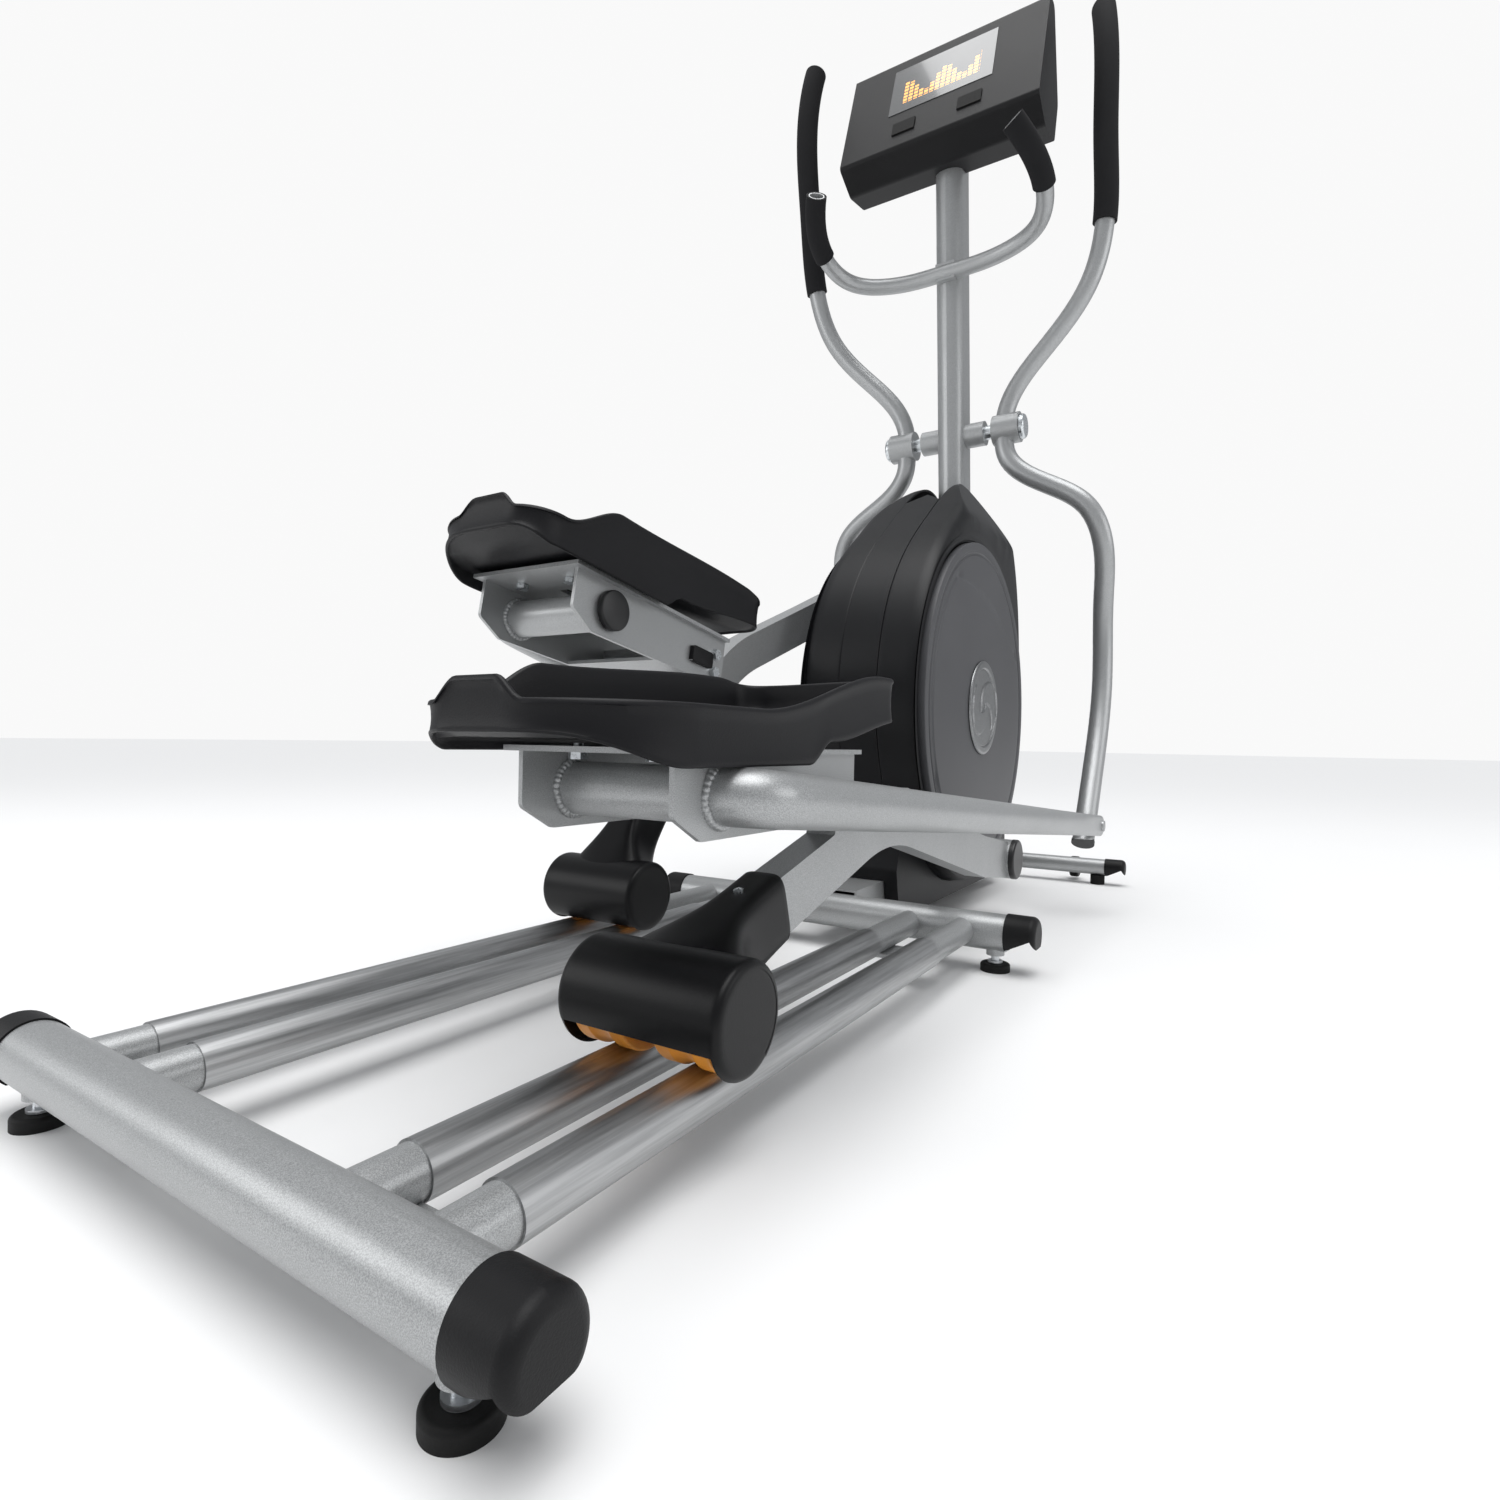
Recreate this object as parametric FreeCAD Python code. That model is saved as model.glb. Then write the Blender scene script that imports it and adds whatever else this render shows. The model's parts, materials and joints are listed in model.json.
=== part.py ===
"""Elliptical trainer, front drive: twin-rail rollers, crank discs, swing arms.

Millimetres.  X points forwards (the way the user faces), Y to the user's left,
Z up.  The origin is the middle of the footprint on the floor.  Every side part
is drawn once for the left (Y positive) and mirrored for the right.
"""
import FreeCAD
import Part
import math
import os

V = FreeCAD.Vector

# ---------------------------------------------------------------- linkage
CRANK_R = 254.0            # half of the 508 mm stride
CRANK_ANGLE = -105.4       # right crank at rest, from +X towards +Z, degrees
CRANK_X = 363.3            # crank centre ahead of the middle stabilizer
CRANK_Z = 344.4
ARM_L = 868.0              # roller axle to crank pin
ARM_RISE = 16.2            # slope of the rail arm either side of its knee
PIVOT_A = (259.4, 126.2)   # pedal link pivot, in the rail arm's own frame
LINK_L = 739.55            # pedal link pivot to swing arm pivot
SWING_S = (498.8, 865.0)   # swing arm pivot on the mast
SWING_L = 718.94           # swing arm pivot down to the pedal link

# ---------------------------------------------------------------- base
MID_X = 2.15               # middle stabilizer, from the origin
TUBE_R = 23.0              # stabilizer tube
TUBE_WALL = 2.5
TUBE_HALF = 245.0          # stabilizer tube, half length
TUBE_Z = 48.2
CAP_L = 38.0
FRONT_R = 16.0
FRONT_X = 758.0
FRONT_Z = 35.0
REAR_X = -800.0
RAIL_Z = TUBE_Z
RAIL_Y = (123.3, 193.4)    # the two tubes of one rail
RAIL_R = 16.0
RAIL_WALL = 2.0
SLEEVE_R = 17.6
SLEEVE_FRONT = -150.0
SPINE_W = 80.0
SPINE_Z = (28.0, 78.0)
FOOT_Y = 231.0
FOOT_R = 18.0
FOOT_TRAVEL = 6.0
TRANSPORT_R = 21.5         # transport wheel
TRANSPORT_AT = (40.5, 26.0)  # its axle, ahead of the front tube and above the floor

# ---------------------------------------------------------------- rollers
AXLE_R = 8.0
WHEEL_R = 36.2
WHEEL_HALF = 22.0
ROLLER_Z = 99.9
COVER_R = 39.9
COVER_T = 2.5
COVER_Y = (89.1, 227.5)
OPEN_REAR = 69.0           # open sector of the cover, degrees behind straight down
OPEN_FRONT = 36.0
ARM_Y = (143.5, 173.5)     # rail arm, inner and outer face

# ---------------------------------------------------------------- pedals
PLATE_Y = (61.4, 200.0)    # outer faces of the pedal bracket's side plates
PLATE_T = 4.0
BRACKET_L = 262.0
BRACKET_H = 61.0
BRACKET_TILT = 5.57        # bracket against the pedal link's pivot line
BRACKET_AT = (-313.1, 20.1)
LINK_TUBE = (52.5, -32.0)  # lateral tube in the bracket's frame
LINK_R = 20.0
LINK_Y = (228.0, 284.5)    # link arm's centre plane, rear and front
PEDAL_L = 404.0
PEDAL_REAR = -80.0
PEDAL_Y = (43.0, 219.0)
PEDAL_FLOOR = (12.0, 36.0)    # top of the floor at the heel and at the toe
PEDAL_CORNERS = (38.0, 85.0, 30.0, 26.0)   # heel inner and outer, toe inner and outer

# ---------------------------------------------------------------- drive
DISC_R = 276.7
DISC_Y = (88.0, 102.6)
SHELL_Y = 94.6
SHELL_T = 4.0
BAND_Y = 30.0
HUB_R = 80.0
PULLEY_R = 150.0
PULLEY_Y = (38.0, 54.0)
FLY_X = 478.0
FLY_Z = 200.0
FLY_R = 90.0
FLY_Y = (-60.0, -31.0)
FLY_PULLEY_R = 24.0
BELT_T = 2.0

# ---------------------------------------------------------------- mast
MAST_HALF = (40.0, 25.0)   # half length along X, half width along Y
MAST_WALL = 2.5
MAST_TOP = 1375.0
MAST_LEAN = 4.57           # degrees, top towards the user
SWING_Y = 262.0            # swing arm plane
SWING_R = 17.0
HANDLE_R = 16.0
PIVOT_R = 12.5
HUB_Y = (76.0, 124.0)

# ---------------------------------------------------------------- clearances
RUN = 0.05                 # radial running clearance
SLIP = 0.05                # radial clearance of pieces pushed together
SIDE = 0.8                 # lateral clearance between turning faces
SEAM = 0.3                 # half of the gap along a housing seam
OPEN_GAP = 1.4             # lateral gap where a closed linkage is opened

PARTS = {}


def box(x, y, z):
    """Box from three (low, high) pairs."""
    return Part.makeBox(x[1] - x[0], y[1] - y[0], z[1] - z[0], V(x[0], y[0], z[0]))


def rod_y(x, z, r, y):
    """Cylinder along Y."""
    return Part.makeCylinder(r, y[1] - y[0], V(x, y[0], z), V(0, 1, 0))


def ring_y(x, z, r_out, r_in, y):
    """Tube along Y."""
    return rod_y(x, z, r_out, y).cut(rod_y(x, z, r_in, (y[0] - 1, y[1] + 1)))


def rod_x(y, z, r, x):
    """Cylinder along X."""
    return Part.makeCylinder(r, x[1] - x[0], V(x[0], y, z), V(1, 0, 0))


def rod_z(x, y, r, z):
    """Cylinder along Z."""
    return Part.makeCylinder(r, z[1] - z[0], V(x, y, z[0]), V(0, 0, 1))


def rounded(points, y):
    """Closed wire in an XZ plane from (x, z, corner radius) points."""
    edges = []
    ends = []
    count = len(points)
    for i in range(count):
        p = V(points[i][0], y, points[i][1])
        a = V(points[i - 1][0], y, points[i - 1][1])
        b = V(points[(i + 1) % count][0], y, points[(i + 1) % count][1])
        r = points[i][2]
        if r <= 0:
            ends.append((p, p))
            continue
        da = (a - p).normalize()
        db = (b - p).normalize()
        half = da.getAngle(db) / 2.0
        cut = r / math.tan(half)
        start = p + da * cut
        end = p + db * cut
        middle = p + (da + db).normalize() * (r / math.sin(half) - r)
        edges.append((i, Part.Arc(start, middle, end).toShape()))
        ends.append((start, end))
    arcs = dict(edges)
    chain = []
    for i in range(count):
        if i in arcs:
            chain.append(arcs[i])
        chain.append(Part.makeLine(ends[i][1], ends[(i + 1) % count][0]))
    return Part.Wire(chain)


def slab(points, y):
    """Rounded XZ outline pulled along Y between two values."""
    face = Part.Face(rounded(points, y[0]))
    return face.extrude(V(0, y[1] - y[0], 0))


def pipe(points, r):
    """Solid rod of radius r along a smooth curve through the points."""
    curve = Part.BSplineCurve()
    curve.interpolate([V(*p) for p in points])
    spine = Part.Wire(curve.toShape())
    start = curve.value(curve.FirstParameter)
    way = curve.tangent(curve.FirstParameter)[0]
    circle = Part.Wire(Part.makeCircle(r, start, way))
    return spine.makePipeShell([circle], True, False)


def oval_wire(centre, half_y, half_z, normal):
    """Closed oval across a member: half_y wide sideways, half_z tall."""
    up = normal.cross(V(0, 1, 0)).normalize() * -1.0
    wide = up.cross(normal).normalize()
    pts = []
    for i in range(16):
        t = i * math.pi / 8.0
        pts.append(centre + wide * (half_y * math.cos(t)) + up * (half_z * math.sin(t)))
    curve = Part.BSplineCurve()
    curve.interpolate(pts, True)
    return Part.Wire(curve.toShape())


def join(first, *rest):
    """Union as one clean solid."""
    out = first
    for item in rest:
        out = out.fuse(item)
    return out.removeSplitter()


def left(shape):
    """A part drawn for the left stays as it is."""
    return shape.copy()


def right(shape):
    """Mirror image for the right side."""
    return shape.mirror(V(0, 0, 0), V(0, 1, 0))


def pose(shape, at, degrees):
    """Turn a part nose-up about Y and carry its origin to an (x, z) point."""
    out = shape.copy()
    out.rotate(V(0, 0, 0), V(0, -1, 0), degrees)
    out.translate(V(at[0], 0, at[1]))
    return out


def turn2(p, degrees):
    """Turn an (x, z) pair nose-up."""
    c = math.cos(math.radians(degrees))
    s = math.sin(math.radians(degrees))
    return (p[0] * c - p[1] * s, p[0] * s + p[1] * c)


def linkage(crank_degrees):
    """Roller, rail arm angle, pivot A, link angle, pivot B and swing angle."""
    a = math.radians(crank_degrees)
    pin = (CRANK_X + CRANK_R * math.cos(a), CRANK_Z + CRANK_R * math.sin(a))
    reach = math.sqrt(ARM_L ** 2 - (pin[1] - ROLLER_Z) ** 2)
    roller = (pin[0] - reach, ROLLER_Z)
    arm = math.degrees(math.atan2(pin[1] - ROLLER_Z, reach))
    off = turn2(PIVOT_A, arm)
    pa = (roller[0] + off[0], roller[1] + off[1])
    dx = SWING_S[0] - pa[0]
    dz = SWING_S[1] - pa[1]
    d = math.hypot(dx, dz)
    along = (LINK_L ** 2 - SWING_L ** 2 + d ** 2) / (2.0 * d)
    across = math.sqrt(LINK_L ** 2 - along ** 2)
    pb = (pa[0] + along * dx / d + across * dz / d,
          pa[1] + along * dz / d - across * dx / d)
    link = math.degrees(math.atan2(pb[1] - pa[1], pb[0] - pa[0]))
    swing = math.degrees(math.atan2(pb[0] - SWING_S[0], SWING_S[1] - pb[1]))
    return roller, arm, pa, link, pb, swing


def keep(name, shape):
    """Move a finished node into the row frame and remember it."""
    out = shape.copy()
    out.translate(V(MID_X, 0, 0))
    PARTS[name] = out


def group(name, shapes):
    """A node made of several separate solids."""
    keep(name, Part.makeCompound(shapes))


# ================================================================ base frame
def stabilizer(x, z, r, holes):
    """Cross tube with bosses underneath for the levelling feet."""
    tube = rod_y(x, z, r, (-TUBE_HALF, TUBE_HALF))
    if holes:
        for y in (-FOOT_Y, FOOT_Y):
            tube = tube.fuse(rod_z(x, y, 11.0, (20.0, z)))
    tube = tube.cut(rod_y(x, z, r - TUBE_WALL, (-TUBE_HALF - 1, TUBE_HALF + 1)))
    if holes:
        for y in (-FOOT_Y, FOOT_Y):
            tube = tube.cut(rod_z(x, y, 5.0 + RUN, (0.0, z)))
    return tube.removeSplitter()


def end_cap(x, z, r):
    """Blunt moulded plug for the left end of a stabilizer tube."""
    spigot_r = r - TUBE_WALL - SLIP
    body = rod_y(x, z, r + 1.5, (TUBE_HALF + SIDE / 2, TUBE_HALF + CAP_L))
    edge = [e for e in body.Edges if abs(e.CenterOfMass.y - TUBE_HALF - CAP_L) < 0.1]
    body = body.makeFillet(8.0, edge)
    slope = box((x - 40, x + 40), (0, 60), (-60, 0))
    slope.rotate(V(x, 0, 0), V(1, 0, 0), -62)
    slope.translate(V(0, TUBE_HALF + CAP_L - 6, z - 2))
    body = body.cut(slope)
    return join(body, rod_y(x, z, spigot_r, (TUBE_HALF - 8, TUBE_HALF + 3)))


def levelling_foot():
    """Screwed foot: pad on the floor with a stud up into the tube."""
    pad = rod_z(0, 0, FOOT_R, (0.0, 10.0))
    rim = [e for e in pad.Edges if abs(e.CenterOfMass.z - 10.0) < 0.1]
    pad = pad.makeFillet(3.0, rim)
    collar = rod_z(0, 0, 9.0, (9.0, 13.0))
    return join(pad, collar, rod_z(0, 0, 5.0, (9.0, 40.0)))


caps = []
for spot in ((0.0, TUBE_Z, TUBE_R), (FRONT_X, FRONT_Z, FRONT_R), (REAR_X, TUBE_Z, TUBE_R)):
    cap = end_cap(*spot)
    caps += [left(cap), right(cap)]
group("stabilizer_end_caps", caps)
mid_tube = stabilizer(0.0, TUBE_Z, TUBE_R, True)
rear_tube = stabilizer(REAR_X, TUBE_Z, TUBE_R, True)
front_tube = stabilizer(FRONT_X, FRONT_Z, FRONT_R, False)
keep("mid_stabilizer", mid_tube)
keep("rear_stabilizer", rear_tube)

foot = levelling_foot()
for place, x in (("mid", 0.0), ("rear", REAR_X)):
    for side, y in (("right", -FOOT_Y), ("left", FOOT_Y)):
        copy = foot.copy()
        copy.translate(V(x, y, 0))
        keep("levelling_foot_%s_%s" % (place, side), copy)

# rubber feet under the front tube and wheel brackets ahead of it
pads = []
forks = []
for y in (-FOOT_Y, FOOT_Y):
    pads.append(rod_z(FRONT_X, y, 13.5, (0.0, FRONT_Z - FRONT_R - 0.2)))
    for dy in (-13.0, 10.0):
        ax, az = FRONT_X + TRANSPORT_AT[0], TRANSPORT_AT[1]
        cheek = slab([(FRONT_X + 8, 46, 6), (ax + 9, az + 14, 8), (ax + 9, az - 9, 8), (ax - 9, az - 9, 8),
                      (FRONT_X + 8, 28, 4)],
                     (y * 0.78 + dy, y * 0.78 + dy + 3.0))
        forks.append(cheek.cut(rod_y(FRONT_X, FRONT_Z, FRONT_R - TUBE_WALL, (-240, 240))))
    forks.append(rod_y(ax, az, 4.0, (y * 0.78 - 15.0, y * 0.78 + 15.0)))
group("front_feet", pads)
keep("front_stabilizer", join(front_tube, *forks))
for side, y in (("right", -FOOT_Y * 0.78), ("left", FOOT_Y * 0.78)):
    ax, az = FRONT_X + TRANSPORT_AT[0], TRANSPORT_AT[1]
    wheel = rod_y(ax, az, TRANSPORT_R, (y - 9.0, y + 9.0))
    wheel = wheel.makeFillet(4.0, [e for e in wheel.Edges if e.Length > 120])
    axle = ring_y(ax, az, TRANSPORT_R + 0.5, 4.0 + RUN, (y - 10.0, y + 10.0))
    keep("transport_wheel_%s" % side, wheel.common(axle).removeSplitter())


# ---------------------------------------------------------------- rails
def rail_pair():
    """Two round tubes joined by a strap at each end, left side."""
    straps = [box((-132, -84), (RAIL_Y[0], RAIL_Y[1]), (RAIL_Z - 19, RAIL_Z - 14)),
              box((REAR_X + 24.5, REAR_X + 50), (RAIL_Y[0], RAIL_Y[1]), (RAIL_Z - 18, RAIL_Z - 12))]
    tubes = [rod_x(y, RAIL_Z, RAIL_R, (REAR_X, 0.0)) for y in RAIL_Y]
    body = join(tubes[0], tubes[1], *straps)
    for y in RAIL_Y:
        body = body.cut(rod_x(y, RAIL_Z, RAIL_R - RAIL_WALL, (REAR_X - 1, 1.0)))
    body = body.cut(rod_y(0.0, TUBE_Z, TUBE_R + SLIP, (100, 220)))
    body = body.cut(rod_y(REAR_X, TUBE_Z, TUBE_R + SLIP, (100, 220)))
    return body.removeSplitter()


def sleeve(y):
    """Bright running sleeve over one rail tube."""
    x = (REAR_X + 52.0, SLEEVE_FRONT)
    return rod_x(y, RAIL_Z, SLEEVE_R, x).cut(rod_x(y, RAIL_Z, RAIL_R + SLIP, (x[0] - 1, x[1] + 1)))


rails = rail_pair()
keep("rail_tubes_left", left(rails))
keep("rail_tubes_right", right(rails))
sleeves = [sleeve(y) for y in RAIL_Y]
group("rail_sleeves", [left(s) for s in sleeves] + [right(s) for s in sleeves])

# ---------------------------------------------------------------- spine
spine = box((0.0, FRONT_X), (-SPINE_W / 2, SPINE_W / 2), SPINE_Z)
hollow = box((-1.0, FRONT_X + 1), (-SPINE_W / 2 + 3, SPINE_W / 2 - 3), (SPINE_Z[0] + 3, SPINE_Z[1] - 3))
post = box((CRANK_X - 30, CRANK_X + 30), (-25, 25), (SPINE_Z[1] - 1, CRANK_Z - 10))
shell = rod_y(CRANK_X, CRANK_Z, 31.0, (-30, 30))


def mast_prism(grow, low, high):
    """Leaning round-cornered column through the swing arm pivot."""
    lean = math.tan(math.radians(MAST_LEAN))
    foot_x = SWING_S[0] + (SWING_S[1] - low) * lean
    a = MAST_HALF[0] + grow
    b = MAST_HALF[1] + grow
    corner = b - 0.5
    wire = []
    spots = [(foot_x - a, -b), (foot_x + a, -b), (foot_x + a, b), (foot_x - a, b)]
    for i in range(4):
        p = V(spots[i][0], spots[i][1], low)
        q = V(spots[(i + 1) % 4][0], spots[(i + 1) % 4][1], low)
        step = (q - p).normalize()
        nxt = V(spots[(i + 2) % 4][0], spots[(i + 2) % 4][1], low)
        turn = (nxt - q).normalize()
        wire.append(Part.makeLine(p + step * corner, q - step * corner))
        bulge = q - (step - turn).normalize() * (corner * (math.sqrt(2.0) - 1.0))
        wire.append(Part.Arc(q - step * corner, bulge, q + turn * corner).toShape())
    face = Part.Face(Part.Wire(wire))
    return face.extrude(V(-(high - low) * lean, 0, high - low))


socket = mast_prism(4.0, SPINE_Z[1] - 2, 190.0).cut(mast_prism(SLIP, SPINE_Z[1] + 1, 200.0))
frame_spine = spine.cut(hollow)
frame_spine = join(frame_spine, post, shell, socket)
frame_spine = frame_spine.cut(rod_y(CRANK_X, CRANK_Z, 23.5 + SLIP, (-31, 31)))
frame_spine = frame_spine.cut(box((CRANK_X - 26, CRANK_X + 26), (-21, 21), (SPINE_Z[1] + 4, CRANK_Z - 40)))
frame_spine = frame_spine.cut(rod_y(0.0, TUBE_Z, TUBE_R + SLIP, (-60, 60)))
frame_spine = frame_spine.cut(rod_y(FRONT_X, FRONT_Z, FRONT_R + SLIP, (-60, 60)))
solids = sorted(frame_spine.removeSplitter().Solids, key=lambda s: -s.Volume)
keep("frame_spine", solids[0])
group("crank_bearings", [ring_y(CRANK_X, CRANK_Z, 23.5, 10.0 + RUN, y) for y in ((-30, -16), (16, 30))])

mast = mast_prism(0.0, SPINE_Z[1] + 2, MAST_TOP).cut(mast_prism(-MAST_WALL, SPINE_Z[1], MAST_TOP + 1))
mast = mast.fuse(ring_y(SWING_S[0], SWING_S[1], 22.0, PIVOT_R + SLIP, (-60, 60)))
mast = mast.cut(rod_y(SWING_S[0], SWING_S[1], PIVOT_R + SLIP, (-70, 70)))
keep("console_mast", mast.removeSplitter())
pivot_axle = rod_y(SWING_S[0], SWING_S[1], PIVOT_R, (-HUB_Y[1] - SIDE, HUB_Y[1] + SIDE))
for y in ((HUB_Y[1] + SIDE, HUB_Y[1] + SIDE + 9), (-HUB_Y[1] - SIDE - 9, -HUB_Y[1] - SIDE)):
    knob = rod_y(SWING_S[0], SWING_S[1], 22.0, y)
    far = max(y, key=abs)
    knob = knob.makeFillet(5.0, [e for e in knob.Edges if abs(e.CenterOfMass.y - far) < 0.1])
    pivot_axle = pivot_axle.fuse(knob)
keep("swing_pivot_axle", pivot_axle.removeSplitter())


# ================================================================ housing
SHELL_LINE = [(77, 344), (88, 430), (120, 508), (172, 575), (232, 628), (290, 672), (345, 712),
              (400, 744), (455, 760), (505, 755), (552, 730), (594, 690), (628, 636), (654, 566),
              (671, 480), (677, 392), (671, 300), (648, 214), (604, 142), (545, 88), (466, 56),
              (376, 46), (286, 58), (205, 100), (142, 162), (97, 246)]


def shell_prism(inset, half):
    """The housing's side outline, moved inwards by inset, pulled to +-half."""
    pts = []
    count = len(SHELL_LINE)
    for i in range(count):
        a = SHELL_LINE[i - 1]
        b = SHELL_LINE[(i + 1) % count]
        dx = b[0] - a[0]
        dz = b[1] - a[1]
        n = math.hypot(dx, dz)
        pts.append(V(SHELL_LINE[i][0] + inset * dz / n, -half, SHELL_LINE[i][1] - inset * dx / n))
    curve = Part.BSplineCurve()
    curve.interpolate(pts, True)
    solid = Part.Face(Part.Wire(curve.toShape())).extrude(V(0, 2 * half, 0))
    for side in (1, -1):
        wedge = box((0, 800), (0, 120), (0, 200))
        wedge.rotate(V(0, 0, 0), V(1, 0, 0), 58)
        wedge.translate(V(0, half, 664 - inset))
        if side < 0:
            wedge = right(wedge)
        solid = solid.cut(wedge)
    return solid


outer = shell_prism(0.0, SHELL_Y)
full = outer.cut(shell_prism(SHELL_T, SHELL_Y - SHELL_T))
for y in ((80, 110), (-110, -80)):
    full = full.cut(rod_y(CRANK_X, CRANK_Z, DISC_R + 3.0, y))
full = full.cut(mast_prism(1.0, 500.0, 900.0)).cut(mast_prism(5.0, 60.0, 215.0))
full = full.cut(box((0, 760), (-SPINE_W / 2 - 1, SPINE_W / 2 + 1), (0, SPINE_Z[1] + 1)))
band = full.common(box((0, 760), (-BAND_Y, BAND_Y), (0, 900))).removeSplitter()
keep("housing_band", sorted(band.Solids, key=lambda s: -s.Volume)[0])
side_shell = full.common(box((0, 760), (BAND_Y + 2 * SEAM, 130), (0, 900)))
side_shell = sorted(side_shell.removeSplitter().Solids, key=lambda s: -s.Volume)[0]
keep("housing_left", left(side_shell))
keep("housing_right", right(side_shell))

lower = slab([(104, 24, 10), (640, 24, 18), (690, 96, 20), (600, 150, 5), (110, 150, 5), (90, 96, 12)], (-62, 62))
inside = box((0, 760), (-59, 59), (27, 200))
lower = lower.cut(inside.common(slab([(108, 27, 8), (636, 27, 15), (684, 97, 18), (600, 152, 3),
                                      (112, 152, 3), (94, 96, 10)], (-59, 59))))
lower = lower.cut(shell_prism(-0.5, SHELL_Y + 1))
lower = lower.cut(box((80, 720), (-SPINE_W / 2 - 1, SPINE_W / 2 + 1), (SPINE_Z[0] - 1, SPINE_Z[1] + 1)))
pieces = sorted(lower.removeSplitter().Solids, key=lambda s: -s.Volume)
keep("lower_cover", pieces[0])

# ================================================================ drive
pin_r = (CRANK_R * math.cos(math.radians(CRANK_ANGLE)), CRANK_R * math.sin(math.radians(CRANK_ANGLE)))


def crank_arm(y, toward):
    """Flat arm inside the housing from the axle to the crank pin boss."""
    bar = slab([(-32, -24, 20), (CRANK_R + 22, -18, 16), (CRANK_R + 22, 18, 16), (-32, 24, 20)], (62.0, 80.0))
    boss = rod_y(CRANK_R, 0.0, 17.0, (62.0, DISC_Y[1] + 8.0))
    arm = join(bar, boss).cut(rod_y(0, 0, 10.0 + SLIP, (60, 90)))
    arm = pose(arm, (CRANK_X, CRANK_Z), toward)
    return left(arm) if y > 0 else right(arm)


def crank_disc():
    """Dished cover disc with a raised lens-shaped panel, left side."""
    disc = rod_y(0, 0, DISC_R, DISC_Y)
    rim = [e for e in disc.Edges if abs(e.CenterOfMass.y - DISC_Y[1]) < 0.1 and e.Length > 1500]
    disc = disc.makeFillet(5.0, rim)
    disc = disc.cut(rod_y(0, 0, DISC_R - 6.0, (DISC_Y[0] - 1, DISC_Y[1] - 6.0)))
    lens = rod_y(0, 0, DISC_R - 28.0, (DISC_Y[1] - 1, DISC_Y[1] + 2.0))
    lens = lens.common(box((-150, 400), (90, 120), (-400, 400)))
    disc = join(disc, lens)
    disc = disc.cut(rod_y(CRANK_R, 0, 17.0 + SLIP, (80, 120)))
    return disc.cut(rod_y(0, 0, 22.0, (80, 120)))


group("crank_arms", [crank_arm(-1, CRANK_ANGLE), crank_arm(1, CRANK_ANGLE + 180.0)])
disc = crank_disc()
group("crank_discs", [right(pose(disc, (CRANK_X, CRANK_Z), CRANK_ANGLE)),
                      left(pose(disc, (CRANK_X, CRANK_Z), CRANK_ANGLE + 180.0))])
cap = rod_y(0, 0, HUB_R, (DISC_Y[1] + 2.1, DISC_Y[1] + 6.5))
cap = cap.makeFillet(3.0, [e for e in cap.Edges if abs(e.CenterOfMass.y - DISC_Y[1] - 6.5) < 0.1])
cap = join(cap, rod_y(0, 0, 21.8, (84.2, DISC_Y[1] + 3.0)))
cap = pose(cap, (CRANK_X, CRANK_Z), 0.0)
group("crank_hub_caps", [left(cap), right(cap)])
keep("crank_axle", rod_y(CRANK_X, CRANK_Z, 10.0, (-84.0, 84.0)))

pulley = rod_y(CRANK_X, CRANK_Z, PULLEY_R, PULLEY_Y)
for y in ((PULLEY_Y[0] - 1, PULLEY_Y[0] + 6), (PULLEY_Y[1] - 6, PULLEY_Y[1] + 1)):
    pulley = pulley.cut(ring_y(CRANK_X, CRANK_Z, PULLEY_R - 14, 30.0, y))
pulley = pulley.cut(rod_y(CRANK_X, CRANK_Z, 10.0 + SLIP, (0, 90)))
keep("drive_pulley", pulley)

wheel = rod_y(FLY_X, FLY_Z, FLY_R, FLY_Y)
wheel = wheel.cut(ring_y(FLY_X, FLY_Z, FLY_R - 22, 24.0, (FLY_Y[1] - 10, FLY_Y[1] + 1)))
wheel = wheel.cut(ring_y(FLY_X, FLY_Z, FLY_R - 22, 24.0, (FLY_Y[0] - 1, FLY_Y[0] + 10)))
wheel = join(wheel, rod_y(FLY_X, FLY_Z, 8.0, (FLY_Y[0], 58.0)), rod_y(FLY_X, FLY_Z, FLY_PULLEY_R, PULLEY_Y))
keep("flywheel", wheel)
plates = []
for y in ((-28.0, -22.0), (26.0, 32.0)):
    plate = slab([(FLY_X - 20, FLY_Z + 22, 18), (FLY_X + 20, FLY_Z + 22, 18), (FLY_X + 24, SPINE_Z[1] + SLIP, 0),
                  (FLY_X - 40, SPINE_Z[1] + SLIP, 0)], y)
    tab = box((FLY_X - 40, FLY_X + 24), (min(y[0], y[1] - 14.0), max(y[1], y[0] + 10.0)),
              (SPINE_Z[1] + SLIP, SPINE_Z[1] + 5))
    plates.append(join(plate, tab).cut(rod_y(FLY_X, FLY_Z, 8.0 + RUN, (-70, 70))))


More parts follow.
